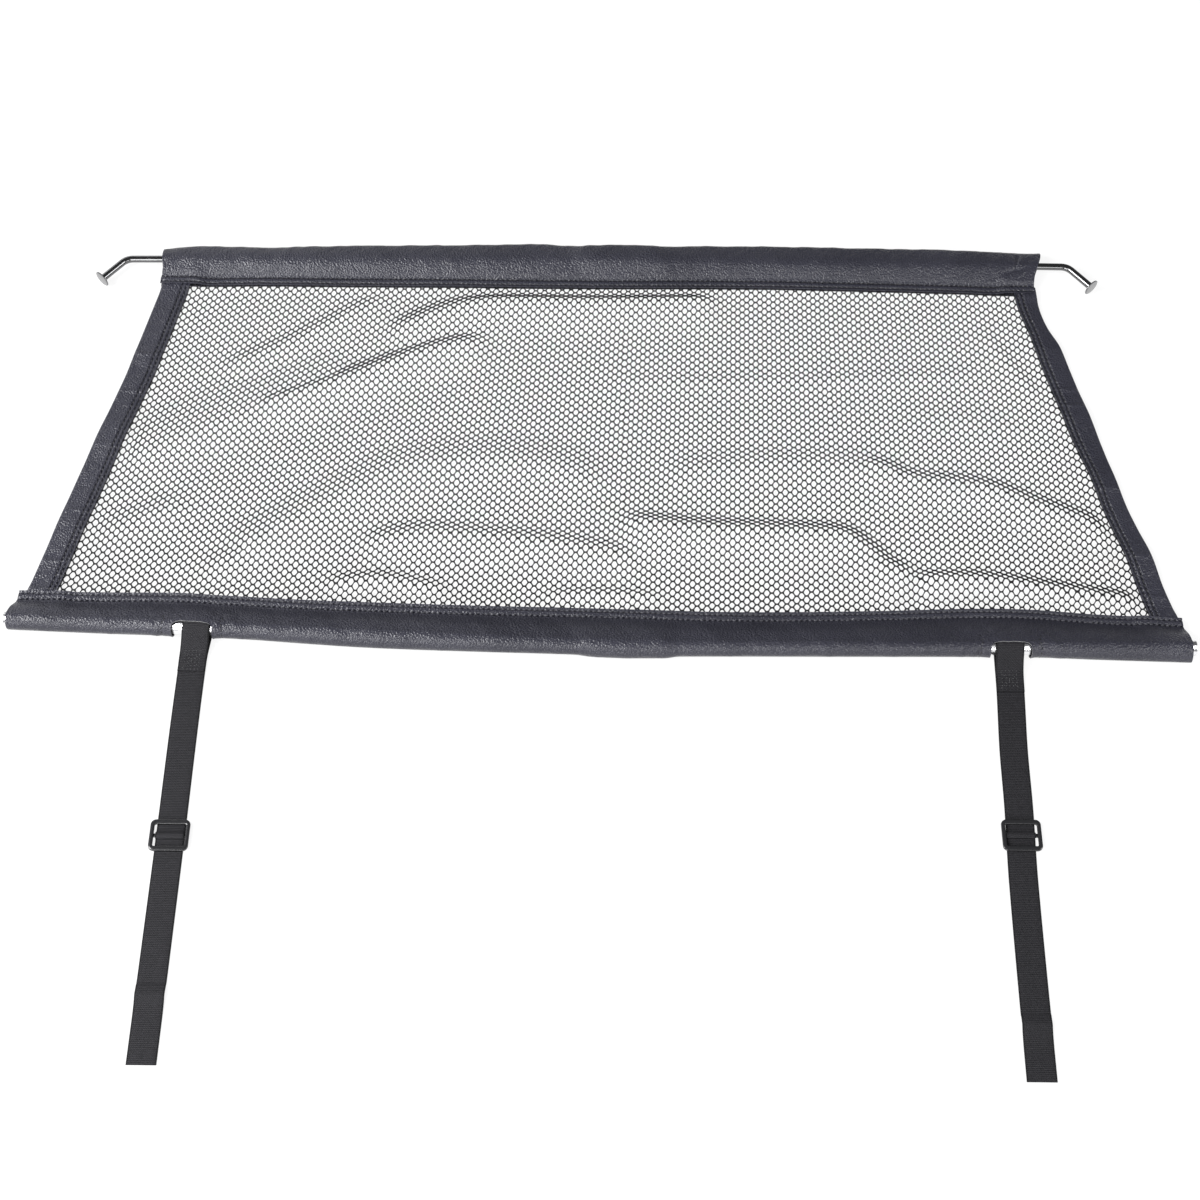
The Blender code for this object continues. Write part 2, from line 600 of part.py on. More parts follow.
def make_strap(name, line, tube_x, glide_y, crease_y, material):
    tube_y = line_at(TUBE_LINE, tube_x)
    slope = line_at(TUBE_LINE, tube_x + 10.0) - line_at(TUBE_LINE, tube_x - 10.0)
    slope /= 20.0
    end_y = min(row[0] for row in line)
    path = strap_path(tube_y, glide_y, crease_y, end_y)
    faces = [offset_path(path, WEBBING / 2), offset_path(path, -WEBBING / 2)]
    grids = []
    for points in faces:
        rows = []
        for (y, z), (middle_y, _) in zip(points, path):
            x = value_at(line, middle_y)
            turn = slope * blend((middle_y - tube_y + 64.0) / 34.0)
            rows.append([(x + s * STRAP_WIDTH / 2, y + s * turn * STRAP_WIDTH / 2, z) for s in (-1, 1)])
        grids.append(rows)
    return sheet_solid(name, grids[0], grids[1], material)


def make_triglide(name, x, y, material):
    """Three-bar slide: an outer frame with two windows and a thinner middle bar."""
    width, length, thickness = GLIDE_SIZE
    z = GLIDE_HEIGHT
    slide = box(name, (x - width / 2, y - length / 2, z), (x + width / 2, y + length / 2, z + thickness),
                material, bevel=3.5)
    inner = width / 2 - GLIDE_SIDE
    far = length / 2 - GLIDE_BAR
    middle = GLIDE_MIDDLE_BAR / 2
    for label, low_y, high_y, low_z in (("near", -far, -middle, -1.0), ("far", middle, far, -1.0),
                                        ("over", -middle - 0.5, middle + 0.5, GLIDE_MIDDLE_THICKNESS)):
        cutter = box(name + "_cutter_" + label, (x - inner, y + low_y, z + low_z),
                     (x + inner, y + high_y, z + thickness + 2.0))
        cut(slide, cutter)
    return slide


# ---------------------------------------------------------------- whole object

def stand_on_origin():
    """Move everything so that the origin is under the middle of the bounding box."""
    solids = [o for o in bpy.data.objects if o.type == "MESH" and not o.hide_render]
    corners = [v.co for o in solids for v in o.data.vertices]
    low = [min(c[k] for c in corners) for k in range(3)]
    high = [max(c[k] for c in corners) for k in range(3)]
    shift = Vector((-(low[0] + high[0]) / 2, -(low[1] + high[1]) / 2, -low[2]))
    for obj in bpy.data.objects:
        for vert in obj.data.vertices:
            vert.co += shift


def main():
    for obj in list(bpy.data.objects):
        bpy.data.objects.remove(obj, do_unlink=True)
    leather = make_material("leatherette", (0.048, 0.048, 0.066), 0.45)
    mesh_cloth = make_material("mesh_cloth", (0.02, 0.02, 0.023), 0.8)
    webbing = make_material("webbing", (0.022, 0.022, 0.025), 0.75)
    dark_metal = make_material("dark_metal", (0.11, 0.11, 0.12), 0.22, 1.0)
    bright_metal = make_material("bright_metal", (0.72, 0.72, 0.73), 0.25, 1.0)
    plastic = make_material("black_plastic", (0.02, 0.02, 0.021), 0.4)

    make_net(mesh_cloth)
    make_top_sleeve(leather)
    make_bottom_sleeve(leather)
    make_binding("side_binding_left", LEFT_BINDING, LEFT_WAVES, -1, leather)
    make_binding("side_binding_right", RIGHT_BINDING, RIGHT_WAVES, 1, leather)

    for side, name in ((-1, "disc_left"), (1, "disc_right")):
        corner, arm = make_rod_half(side, dark_metal)
        make_disc(name, corner, arm, dark_metal)
    make_joiner("top_rod_joiner", ROD_LINE, ROD_HEIGHT, ROD_RADIUS + GAP, ROD_JOINER_RADIUS, dark_metal)
    for side in (-1, 1):
        make_tube_half(side, bright_metal)
    make_joiner("tube_joiner", TUBE_LINE, TUBE_HEIGHT, TUBE_RADIUS + GAP, TUBE_JOINER_RADIUS, bright_metal)

    make_strap("strap_left", LEFT_STRAP_LINE, NOTCHES[0] + 5.0, -210.0, -371.0, webbing)
    make_strap("strap_right", RIGHT_STRAP_LINE, NOTCHES[1] - 1.0, -201.0, -391.0, webbing)
    make_triglide("triglide_left", -418.2, -210.0, plastic)
    make_triglide("triglide_right", 415.4, -201.0, plastic)
    stand_on_origin()


main()
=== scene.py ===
"""Looks of the car dog barrier net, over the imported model's frame: mesh knitted strand by strand,
leatherette with its grain, creases and stitching, ribbed webbing, moulded slides and bare metal.

Lengths in this file are millimetres in the part's drawing frame (Y is zero at the joint of the
bottom tube), and are moved and turned into metres where a mesh is made. The outlines and lines
repeat the part's own tables; the mesh has more and finer folds than the part.
"""
import math

import bpy
import numpy as np
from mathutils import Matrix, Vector


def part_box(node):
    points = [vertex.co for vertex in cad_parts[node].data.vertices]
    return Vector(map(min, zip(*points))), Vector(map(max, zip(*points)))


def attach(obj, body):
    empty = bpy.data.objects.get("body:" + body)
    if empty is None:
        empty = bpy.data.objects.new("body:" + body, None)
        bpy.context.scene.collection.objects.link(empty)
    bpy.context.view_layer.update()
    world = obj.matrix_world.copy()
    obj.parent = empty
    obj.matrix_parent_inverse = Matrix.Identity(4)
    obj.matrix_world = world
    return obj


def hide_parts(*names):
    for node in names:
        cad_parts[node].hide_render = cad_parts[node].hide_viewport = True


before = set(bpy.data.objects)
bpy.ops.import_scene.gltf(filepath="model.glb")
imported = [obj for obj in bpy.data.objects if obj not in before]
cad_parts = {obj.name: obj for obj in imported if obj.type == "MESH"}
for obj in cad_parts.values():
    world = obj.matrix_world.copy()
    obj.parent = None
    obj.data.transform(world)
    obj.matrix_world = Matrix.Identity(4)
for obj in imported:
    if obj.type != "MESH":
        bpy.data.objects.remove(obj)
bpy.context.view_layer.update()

MM = 0.001
GAP = 0.3               # between neighbouring pieces
LEATHER = 1.2           # thickness of the leatherette
MESH_CLOTH = 1.2        # thickness of the knitted mesh
WEBBING = 1.3           # thickness of the strap webbing
STRAP_WIDTH = 28.5

# bottom tube: left end, joint and right end of its centre line (x, y)
TUBE_LINE = ((-614.6, 26.2), (28.4, 0.3), (611.0, 5.5))
TUBE_RADIUS = 8.0
TUBE_BORE = 6.8         # inner radius
TUBE_HEIGHT = 11.4      # centre line above the floor
JOINER_LENGTH = 78.0    # of both ferrules

# top rod: left bend, joint and right bend of its centre line (x, y)
ROD_LINE = ((-550.7, 504.9), (20.0, 510.5), (532.7, 504.9))
ROD_RADIUS = 4.0
ROD_JOINER_RADIUS = 6.2
ROD_BEND_ANGLE = math.radians(50.0)
ROD_BEND_RADIUS = 16.0
ROD_ARM = 38.0          # from the corner of the bend to the middle of the disc
DISC_RADIUS = 9.5
DISC_THICKNESS = 2.5
ROD_HEIGHT = DISC_RADIUS

BAND = 12.0             # stitched hem of a sleeve, next to the mesh
SLOT = MESH_CLOTH + 2 * GAP             # between a binding's layers
BINDING_THICKNESS = 2 * LEATHER + SLOT
CORNER_RISE = 2 * (LEATHER + GAP)       # of a hem's upper layer over a binding's end
BINDING_RISE = LEATHER + GAP            # of a binding's end on a hem's lower layer
TUCK = 9.0              # how far mesh and bindings reach into a hem
CHORD = 1.0 / math.cos(math.radians(15.0))      # keeps the straight spans of a section clear of the tube

# columns: x, far edge of the hem (y), slack of the leather in front of the tube
BOTTOM_SLEEVE = (
    (-614.0, 62.7, 1.0), (-568.0, 63.2, 1.0), (-507.0, 63.2, 0.8), (-437.0, 63.4, 0.0),
    (-402.0, 61.3, 0.0), (-355.0, 58.8, 0.4), (-307.0, 56.4, 1.8), (-250.0, 54.6, 3.0),
    (-200.0, 53.2, 3.0), (-115.0, 51.2, 2.0), (-42.0, 50.1, 0.8), (42.0, 48.5, 0.4),
    (128.0, 46.6, 0.0), (213.0, 47.5, 0.0), (298.0, 49.8, 0.0), (383.0, 53.2, 0.0),
    (447.0, 52.9, 0.4), (510.0, 48.2, 2.6), (572.0, 45.2, 4.4), (609.0, 42.8, 5.5),
)
# columns: x, near edge of the hem (y), far fold (y)
TOP_SLEEVE = (
    (-510.0, 472.6, 521.9), (-479.0, 473.0, 525.5), (-458.0, 472.4, 526.8), (-391.0, 473.8, 525.3),
    (-329.0, 473.7, 527.9), (-284.0, 473.6, 529.3), (-168.0, 474.1, 531.2), (-75.0, 473.7, 533.7),
    (-30.0, 473.8, 531.4), (18.0, 474.0, 533.4), (62.0, 474.5, 531.8), (111.0, 475.0, 532.7),
    (202.0, 475.0, 533.0), (296.0, 473.3, 531.5), (402.0, 471.0, 530.1), (459.0, 469.0, 527.0),
    (501.0, 468.8, 525.6),
)
# columns: y, outer edge (x), inner edge (x)
LEFT_BINDING = (
    (50.0, -603.0, -571.5), (115.0, -588.0, -557.0), (191.0, -570.5, -539.0), (270.0, -551.5, -520.5),
    (352.0, -531.0, -499.5), (408.0, -520.0, -488.0), (482.0, -505.0, -473.0),
)
RIGHT_BINDING = (
    (38.0, 603.5, 574.0), (81.0, 591.5, 564.0), (128.0, 581.0, 553.0), (178.0, 565.5, 539.0),
    (229.0, 553.5, 527.0), (282.0, 541.5, 511.5), (336.0, 528.5, 499.0), (391.0, 515.0, 486.0),
    (419.0, 504.0, 480.5), (447.0, 497.0, 473.5), (482.0, 494.5, 467.5),
)
# columns: y of the wave's crest, rise, half length along the binding
LEFT_WAVES = ((150.0, 1.4, 34.0), (262.0, 1.8, 40.0), (371.0, 1.5, 30.0))
RIGHT_WAVES = ((118.0, 2.6, 36.0), (214.0, 1.8, 34.0), (300.0, 2.4, 38.0), (396.0, 2.2, 34.0))

# cross creases of a binding; columns: y, rise, half width, bow
LEFT_CREASES = (
    (372.0, 1.1, 4.0, 5.0), (322.0, 1.0, 4.0, 6.0), (250.0, 0.8, 6.0, 4.0), (164.0, 0.9, 5.0, 5.0),
    (101.0, 1.0, 4.5, 6.0), (66.0, 0.9, 4.0, 5.0),
)
RIGHT_CREASES = (
    (335.0, 1.1, 4.5, -5.0), (312.0, 1.0, 4.0, 5.0), (205.0, 1.0, 6.0, 4.0), (120.0, 1.1, 6.0, 6.0),
    (72.0, 0.9, 5.0, 5.0),
)

# folds of the mesh; columns: crest height, half width near side, half width far side, crest line
FOLDS = (
    (7.5, 50.0, 60.0, ((-524, 226), (-432, 274), (-339, 318), (-270, 347))),
    (11.0, 50.0, 23.0, ((-400, 292), (-339, 318), (-256, 352), (-187, 382), (-120, 396))),
    (10.0, 54.0, 23.0, ((-250, 398), (-190, 431), (-122, 450), (-17, 450), (60, 453), (140, 456))),
    (5.0, 46.0, 18.0, ((-433, 350), (-361, 387), (-300, 425), (-241, 463))),
    (8.0, 60.0, 38.0, ((-400, 110), (-324, 156), (-264, 195), (-207, 225), (-119, 234), (-42, 223),
                       (8, 196))),
    (5.0, 42.0, 26.0, ((-543, 137), (-498, 152), (-430, 184))),
    (5.0, 34.0, 22.0, ((-428, 87), (-383, 110), (-330, 137))),
    (8.5, 48.0, 21.0, ((-262, 124), (-197, 138), (-130, 136), (-44, 127), (50, 110))),
    (7.0, 28.0, 15.0, ((-300, 74), (-236, 82), (-198, 77), (-150, 64))),
    (12.0, 58.0, 21.0, ((10, 158), (84, 149), (159, 145), (214, 143), (264, 137), (300, 102), (341, 87))),
    (10.0, 30.0, 17.0, ((310, 92), (341, 87), (402, 87), (463, 78), (523, 68), (580, 60))),
    (9.0, 54.0, 20.0, ((260, 232), (300, 228), (337, 212), (412, 203), (461, 183), (497, 169), (580, 135))),
    (6.0, 64.0, 26.0, ((60, 214), (110, 226), (217, 233), (320, 226))),
    (2.2, 22.0, 12.0, ((0, 344), (99, 344), (236, 347), (327, 352), (430, 356))),
    (3.0, 24.0, 12.0, ((424, 430), (439, 398), (455, 370), (470, 344), (488, 310))),
    (2.0, 46.0, 26.0, ((325, 299), (423, 290), (475, 278))),
    (5.5, 18.0, 12.0, ((-75, 60), (-40, 64), (0, 66), (42, 64), (80, 58))),
    (1.5, 6.0, 6.0, ((23, 464), (24, 323), (25, 200), (25, 60))),
    (1.2, 6.0, 6.0, ((263, 462), (254, 326), (248, 224))),
)
FOLD_FADE = 45.0        # a crest dies away over this length at each end
EDGE_FADE = 22.0        # and so does a fold towards a hem or binding

NOTCH_WIDTH = 42.0
NOTCH_CORNER = 8.0      # radius
NOTCH_SEW = 9.5         # row of stitches beside a notch, from its side
NOTCHES = (-419.2, 421.0)       # x of their middles

# columns: y, x of the strap's middle
LEFT_STRAP_LINE = ((20.0, -414.0), (-16.0, -417.5), (-245.0, -417.5), (-438.0, -417.8))
RIGHT_STRAP_LINE = ((6.0, 420.0), (-40.0, 419.3), (-108.0, 416.4), (-170.0, 415.6), (-250.0, 413.0),
                    (-445.0, 411.5))
# straps: middle line, x where it goes round the tube, y of the crease in its tail
STRAPS = {
    "left": (LEFT_STRAP_LINE, NOTCHES[0] + 5.0, -371.0),
    "right": (RIGHT_STRAP_LINE, NOTCHES[1] - 1.0, -391.0),
}
# corners of the faces that close a strap's end, by their numbers round its section
STRAP_CAP = [[0, 1, 13], [1, 2, 12, 13], [2, 3, 11, 12], [3, 4, 11], [4, 5, 11], [5, 6, 10, 11],
             [6, 7, 9, 10], [7, 8, 9]]
STRAP_TOP = 4           # number of the point in the middle of its upper side
LAP = 46.0              # sewn lap of the loop, from the tube
GLIDE_SIZE = (39.0, 33.0, 3.0)          # a slide: across the strap, along it, thickness
GLIDE_BAR = 5.0         # width of its rails across the strap
GLIDE_SIDE = 4.0        # and of those along it
GLIDE_MIDDLE_BAR = 4.0
GLIDE_MIDDLE_THICKNESS = 1.8
GLIDE_HEIGHT = WEBBING + GAP            # of its underside above the floor
GLIDES = {"left": (-418.2, -210.0), "right": (415.4, -201.0)}   # x and y of their middles

# mesh cells: flat-topped hexagons in columns, every second column half a cell lower
CELL_ACROSS = 10.25     # between every second column
CELL_ALONG = 9.2        # between cells in a column
BAR_HALF = 1.4          # half the short level strand at a cell's top and bottom
YARN = 2.1              # height of the round strands in the open
ROW_SLOPE = math.tan(math.radians(2.5))
COLUMN_LEAN = math.tan(math.radians(2.1))   # at x = 0; twice that at the left end, none at the right
LEAN_END = 480.0        # x where the columns stand straight
NET_MIDDLE = 265.0      # y where the columns' lean starts from
# a quarter of the hole in a cell, from its side to its top
HOLE = ((2.9, 0.0), (2.14, 1.79), (0.96, 3.41), (0.0, 3.68))

STITCH = 4.0            # length of a stitch
STITCH_GAP = 1.6
THREAD_RADIUS = 0.6
HEM_ROWS = (3.2, 10.0)  # rows of stitches, from the hem's edge
BINDING_ROWS = (3.0, 8.2)   # and from a binding's inner edge
SLEEVE_STEPS = 5        # rows of points in each span of a sleeve's section
NO_SEAM = 1000.0        # map distance of leather that has no stitches near it
PEBBLES = 0.56          # pebbles of the leather's grain to a millimetre
RIB = 1.8               # one rib of the webbing
TWILL = 1.7             # and one yarn across it
SELVEDGE = 1.6          # dark woven edge of the webbing

# lights: name, place and size (m), power (W)
LIGHTS = (
    ("key", (-2.1, -0.4, 1.8), (1.5, 1.5), 122.0),
    ("front_left", (-1.2, -2.6, 1.5), (1.9, 1.8), 72.0),
    ("front_right", (1.3, -2.6, 1.5), (1.6, 1.0), 24.0),
    ("right", (2.3, -0.7, 1.7), (1.2, 1.2), 36.0),
    ("back_left", (-1.5, 2.8, 1.2), (1.8, 0.8), 12.0),
)
LIT_PLACE = (-0.1, 0.0, 0.0)    # that all lights are aimed at (m)
ROOM_LIGHT = 0.13               # strength of the room's own light, which looks white to the camera

glide_low, glide_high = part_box("triglide_left")
SHIFT = np.array([(glide_low.x + glide_high.x) / 2 / MM - GLIDES["left"][0],
                  (glide_low.y + glide_high.y) / 2 / MM - GLIDES["left"][1], 0.0])


# ---------------------------------------------------------------- numbers and curves

def blend(t):
    """Smooth step from 0 to 1."""
    t = np.clip(t, 0.0, 1.0)
    return t * t * (3.0 - 2.0 * t)


def value_at(table, x, column=1):
    """Smooth curve through a table's rows, read at x."""
    rows = np.array(sorted((row[0], row[column]) for row in table), float)
    places, values = rows.T
    x = np.clip(np.asarray(x, float), places[0], places[-1])
    i = np.clip(np.searchsorted(places, x, side="right") - 1, 0, len(places) - 2)
    before = np.maximum(np.arange(len(places)) - 1, 0)
    after = np.minimum(np.arange(len(places)) + 1, len(places) - 1)
    slopes = (values[after] - values[before]) / (places[after] - places[before])
    span = places[i + 1] - places[i]
    t = (x - places[i]) / span
    return (values[i] * (1 + 2 * t) * (1 - t) ** 2 + values[i + 1] * t * t * (3 - 2 * t)
            + span * (slopes[i] * t * (1 - t) ** 2 - slopes[i + 1] * t * t * (1 - t)))


def line_at(line, x):
    """Y on a centre line made of two straight halves."""
    (x0, y0), (x1, y1), (x2, y2) = line
    return np.where(x < x1, y0 + (x - x0) * (y1 - y0) / (x1 - x0), y1 + (x - x1) * (y2 - y1) / (x2 - x1))


def near_edge(x):
    """Y of the bottom hem's edge on the mesh."""
    return value_at(BOTTOM_SLEEVE, x, 1)


def far_edge(x):
    """Y of the top hem's edge on the mesh."""
    return value_at(TOP_SLEEVE, x, 1)


def from_hems(x, y):
    """Distance inwards from the nearer hem's edge."""
    return np.minimum(y - near_edge(x), far_edge(x) - y)


def from_bindings(x, y):
    """Distance inwards from the nearer binding's inner edge."""
    return np.minimum(x - value_at(LEFT_BINDING, y, 2), value_at(RIGHT_BINDING, y, 2) - x)


def ripple(x, length, seed=0.0):
    """Uneven wave along x, about 1 high, that repeats nowhere near."""
    t = 2.0 * np.pi * x / length
    return (np.sin(t + seed) + 0.6 * np.sin(1.73 * t + 2.1 * seed + 1.0)
            + 0.4 * np.sin(2.91 * t + 3.7 * seed + 2.0)) / 1.6


def bump_at(x, place, half):
    """1 at a place, falling smoothly to 0 at half on each side."""
    return blend(1.0 - np.abs(x - place) / half)


def smooth_rows(control, steps):
    """Finer points on a smooth curve through each row of control points (rows, points, axes)."""
    first = 2 * control[:, :1] - control[:, 1:2]
    last = 2 * control[:, -1:] - control[:, -2:-1]
    p = np.concatenate((first, control, last), axis=1)
    p0, p1, p2, p3 = (p[:, k:k + control.shape[1] - 1] for k in range(4))
    pieces = []
    for k in range(steps):
        t = k / steps
        pieces.append(0.5 * (2 * p1 + (p2 - p0) * t + (2 * p0 - 5 * p1 + 4 * p2 - p3) * t * t
                             + (3 * p1 - p0 - 3 * p2 + p3) * t ** 3))
    rows, spans, axes = p1.shape
    fine = np.stack(pieces, axis=2).reshape(rows, spans * steps, axes)
    return np.concatenate((fine, control[:, -1:]), axis=1)


def unit(vectors):
    """The vectors brought to length 1."""
    return vectors / np.linalg.norm(vectors, axis=-1, keepdims=True)


def side_normals(rows):
    """Unit vectors to the right of the way each row of (y, z) points runs."""
    along = unit(np.gradient(rows, axis=1))
    return np.stack((along[..., 1], -along[..., 0]), axis=2)


def run_to(points):
    """Length of the way along points to each of them."""
    steps = np.linalg.norm(np.diff(points, axis=-2), axis=-1)
    return np.concatenate((np.zeros_like(steps[..., :1]), np.cumsum(steps, axis=-1)), axis=-1)


def circle(sides):
    """Cosines and sines of equal steps round a circle."""
    turn = 2.0 * np.pi * np.arange(sides) / sides
    return np.cos(turn), np.sin(turn)


# ---------------------------------------------------------------- meshes

def placed(name, data):
    """New object in the scene that shows a mesh, light or camera."""
    obj = bpy.data.objects.new(name, data)
    bpy.context.collection.objects.link(obj)
    return obj


def mesh_object(name, points, quads, material, sharp=None, seam=None):
    """Piece of the part, from points in the drawing frame and faces of four corners.

    Edges turned by more than the sharp angle are sharp; seam is each point's place on the map.
    """
    used, quads = np.unique(quads, return_inverse=True)
    points = ((points[used] + SHIFT) * MM).astype(np.float32)
    quads = quads.reshape(-1, 4).astype(np.int32)
    mesh = bpy.data.meshes.new(name)
    mesh.vertices.add(len(points))
    mesh.vertices.foreach_set("co", points.ravel())
    mesh.loops.add(quads.size)
    mesh.loops.foreach_set("vertex_index", quads.ravel())
    mesh.polygons.add(len(quads))
    mesh.polygons.foreach_set("loop_start", np.arange(0, quads.size, 4, dtype=np.int32))
    mesh.update(calc_edges=True)
    mesh.shade_smooth()
    if sharp:
        mesh.set_sharp_from_angle(angle=math.radians(sharp))
    if seam is not None:
        layer = mesh.uv_layers.new(name="Seam")
        layer.data.foreach_set("uv", seam[used][quads.ravel()].astype(np.float32).ravel())
    mesh.materials.append(material)
    obj = placed(name, mesh)
    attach(obj, "root")
    return obj


def shell_quads(rows, columns, kept):
    """Faces of a closed sheet between two grids, the second numbered after the first."""
    count = rows * columns
    index = np.arange(count).reshape(rows, columns)
    a, b = index[:-1, :-1][kept], index[1:, :-1][kept]
    c, d = index[1:, 1:][kept], index[:-1, 1:][kept]
    faces = [np.stack((a, b, c, d), 1), np.stack((d, c, b, a), 1) + count]
    padded = np.pad(kept, 1)
    # walls stand wherever a cell is kept on one side of an edge alone
    for before, after, down, right in ((padded[:-1, 1:-1], padded[1:, 1:-1], 0, 1),
                                       (padded[1:-1, 1:], padded[1:-1, :-1], 1, 0)):
        for edges, start, stop in ((after & ~before, 0, 1), (before & ~after, 1, 0)):
            i, j = np.nonzero(edges)
            first = index[i + down * start, j + right * start]
            last = index[i + down * stop, j + right * stop]
            faces.append(np.stack((first, last, last + count, first + count), 1))
    return np.concatenate(faces)


def shell(name, outer, inner, material, seam, kept=None, flip=False):
    """Closed sheet between two grids of points; cells that aren't kept are left open.

    Seam holds each outer point's place along its rows of stitches and distance from its sewn edge.
    """
    rows, columns = outer.shape[:2]
    if kept is None:
        kept = np.ones((rows - 1, columns - 1), bool)
    quads = shell_quads(rows, columns, kept)
    if flip:
        quads = quads[:, ::-1]
    points = np.concatenate((outer.reshape(-1, 3), inner.reshape(-1, 3)))
    seam = seam.reshape(-1, 2)
    seam = np.concatenate((seam, seam + (0.0, NO_SEAM)))
    return mesh_object(name, points, quads, material, sharp=50.0, seam=seam)


def ring_quads(rings, sides, closed=False):
    """Faces between rings of points numbered one after another."""
    index = np.arange(rings * sides).reshape(rings, sides)
    following = np.roll(index, -1, axis=0) if closed else index[1:]
    current = index if closed else index[:-1]
    return np.stack((current, np.roll(current, -1, axis=1), np.roll(following, -1, axis=1), following),
                    axis=2).reshape(-1, 4)


def revolve(name, start, end, profile, material, sides, closed=False):
    """Turned piece about the line from start to end; profile holds (distance along, radius)."""
    start, end = np.array(start, float), np.array(end, float)
    along = unit(end - start)
    side = np.cross((0.0, 0.0, 1.0), along)
    up = np.cross(along, side)
    cosines, sines = circle(sides)
    around = cosines[:, None] * side + sines[:, None] * up
    rings = [start + along * distance + around * radius for distance, radius in profile]
    quads = ring_quads(len(profile), sides, closed)
    return mesh_object(name, np.concatenate(rings), quads, material, sharp=40.0)


# ---------------------------------------------------------------- materials

def node(tree, kind, inputs=None, **settings):
    """Shader node with its settings, and its inputs given as values or linked sockets."""
    made = tree.nodes.new(kind)
    for key, value in settings.items():
        setattr(made, key, value)
    for key, value in (inputs or {}).items():
        if isinstance(value, bpy.types.NodeSocket):
            tree.links.new(value, made.inputs[key])
        else:
            made.inputs[key].default_value = value
    return made


def in_range(tree, value, low, high):
    """A value from 0 to 1 brought between low and high."""
    return node(tree, "ShaderNodeMapRange", {"Value": value, "To Min": low, "To Max": high}).outputs[0]


class Finish:
    """A material being made: a principled shader, and nodes with coordinates in millimetres."""

    def __init__(self, name, **constants):
        self.material = bpy.data.materials.new(name)
        self.material.use_nodes = True
        self.tree = self.material.node_tree
        self.shader = self.tree.nodes["Principled BSDF"]
        for key, value in constants.items():
            self.shader.inputs[key.replace("_", " ")].default_value = value
        metres = self.node("ShaderNodeTexCoord").outputs["Object"]
        scaled = self.node("ShaderNodeVectorMath", {0: metres}, operation="SCALE")
        scaled.inputs["Scale"].default_value = 1.0 / MM
        self.place = scaled.outputs[0]

    def node(self, kind, inputs=None, **settings):
        """Node of this material."""
        return node(self.tree, kind, inputs, **settings)

    def maths(self, operation, a, b=0.0, c=0.0):
        """Result of one operation."""
        return self.node("ShaderNodeMath", {0: a, 1: b, 2: c}, operation=operation).outputs[0]

    def times(self, a, b, plus=0.0):
        """A times b, plus a third value."""
        return self.maths("MULTIPLY_ADD", a, b, plus)

    def near(self, value, reach):
        """1 where a value is 0, falling smoothly to 0 at the reach on both sides."""
        size = self.maths("ABSOLUTE", value)
        inputs = {"Value": size, "From Max": reach, "To Min": 1.0, "To Max": 0.0}
        return self.node("ShaderNodeMapRange", inputs, interpolation_type="SMOOTHSTEP").outputs[0]

    def noise(self, size, detail=2.0, place=None):
        """Noise whose features are about size millimetres, centred on 0.5."""
        inputs = {"Vector": place or self.place, "Scale": 1.0 / size, "Detail": detail}
        return self.node("ShaderNodeTexNoise", inputs).outputs["Fac"]

    def map_axes(self, name):
        """U and v of one of the mesh's own maps."""
        uv = self.node("ShaderNodeUVMap", uv_map=name).outputs[0]
        axes = self.node("ShaderNodeSeparateXYZ", {0: uv})
        return axes.outputs[0], axes.outputs[1]

    def colour(self, factor, dark, light):
        """Base colour between two."""
        mix = self.node("ShaderNodeMix", {"Factor": factor}, data_type="RGBA")
        mix.inputs["A"].default_value = (*dark, 1.0)
        mix.inputs["B"].default_value = (*light, 1.0)
        self.tree.links.new(mix.outputs["Result"], self.shader.inputs["Base Color"])

    def roughness(self, value, low, high):
        """Roughness between two."""
        self.tree.links.new(in_range(self.tree, value, low, high), self.shader.inputs["Roughness"])

    def relief(self, height, strength, depth):
        """Bumps of a depth in millimetres."""
        bump = self.node("ShaderNodeBump", {"Height": height, "Strength": strength, "Distance": depth * MM})
        self.tree.links.new(bump.outputs[0], self.shader.inputs["Normal"])


def leatherette(name, rows):
    """Pebbled dark blue-grey leatherette, puckered along its rows of stitches, with painted shade darkening
    their grooves and the needle holes between the stitches.

    Its map holds the place along a row in u and the distance from the sewn edge in v, in millimetres.
    """
    finish = Finish(name, Specular_IOR_Level=0.45)
    grain = {"Vector": finish.place, "Scale": PEBBLES, "Randomness": 1.0}
    cells = finish.node("ShaderNodeTexVoronoi", grain, feature="SMOOTH_F1").outputs["Distance"]
    pebble = finish.maths("SUBTRACT", 1.0, cells)
    patches = finish.noise(70.0, 3.0)
    along, inwards = finish.map_axes("Seam")
    turn = finish.times(along, 2 * math.pi / (STITCH + STITCH_GAP))
    between = finish.times(finish.maths("COSINE", turn), -0.5, 0.5)
    offsets = [finish.maths("SUBTRACT", inwards, row) for row in rows]
    groove = finish.maths("MAXIMUM", *(finish.near(offset, 1.5) for offset in offsets))
    pucker = finish.times(groove, between)
    # painted shade of the needle holes, darkest halfway between two stitches
    painted_hole_shade = finish.maths("POWER", pucker, 4.0)
    tone = finish.times(pebble, 0.45, finish.times(patches, 0.6))
    # painted shade: the colour is darkened at the needle holes and along each row's groove
    tone = finish.times(painted_hole_shade, -1.1, tone)
    tone = finish.times(groove, -0.15, tone)
    finish.colour(tone, (0.008, 0.008, 0.014), (0.042, 0.042, 0.056))
    finish.roughness(finish.times(pebble, patches), 0.40, 0.16)
    height = finish.times(finish.noise(0.7), 0.12, pebble)
    finish.relief(finish.times(pucker, -1.3, height), 1.0, 1.0)
    return finish.material


def backing_and_edge_highlight():
    """Pale knitted backing where the leatherette is cut; its paleness is partly the backing fabric and partly
    a painted highlight along the cut edges.
    """
    finish = Finish("pale_backing_and_edge_highlight", Roughness=0.9, Specular_IOR_Level=0.2)
    # pale colour: partly the backing fabric, partly a painted highlight on the cut edges
    finish.colour(finish.noise(0.5), (0.12, 0.12, 0.125), (0.26, 0.26, 0.265))
    return finish.material


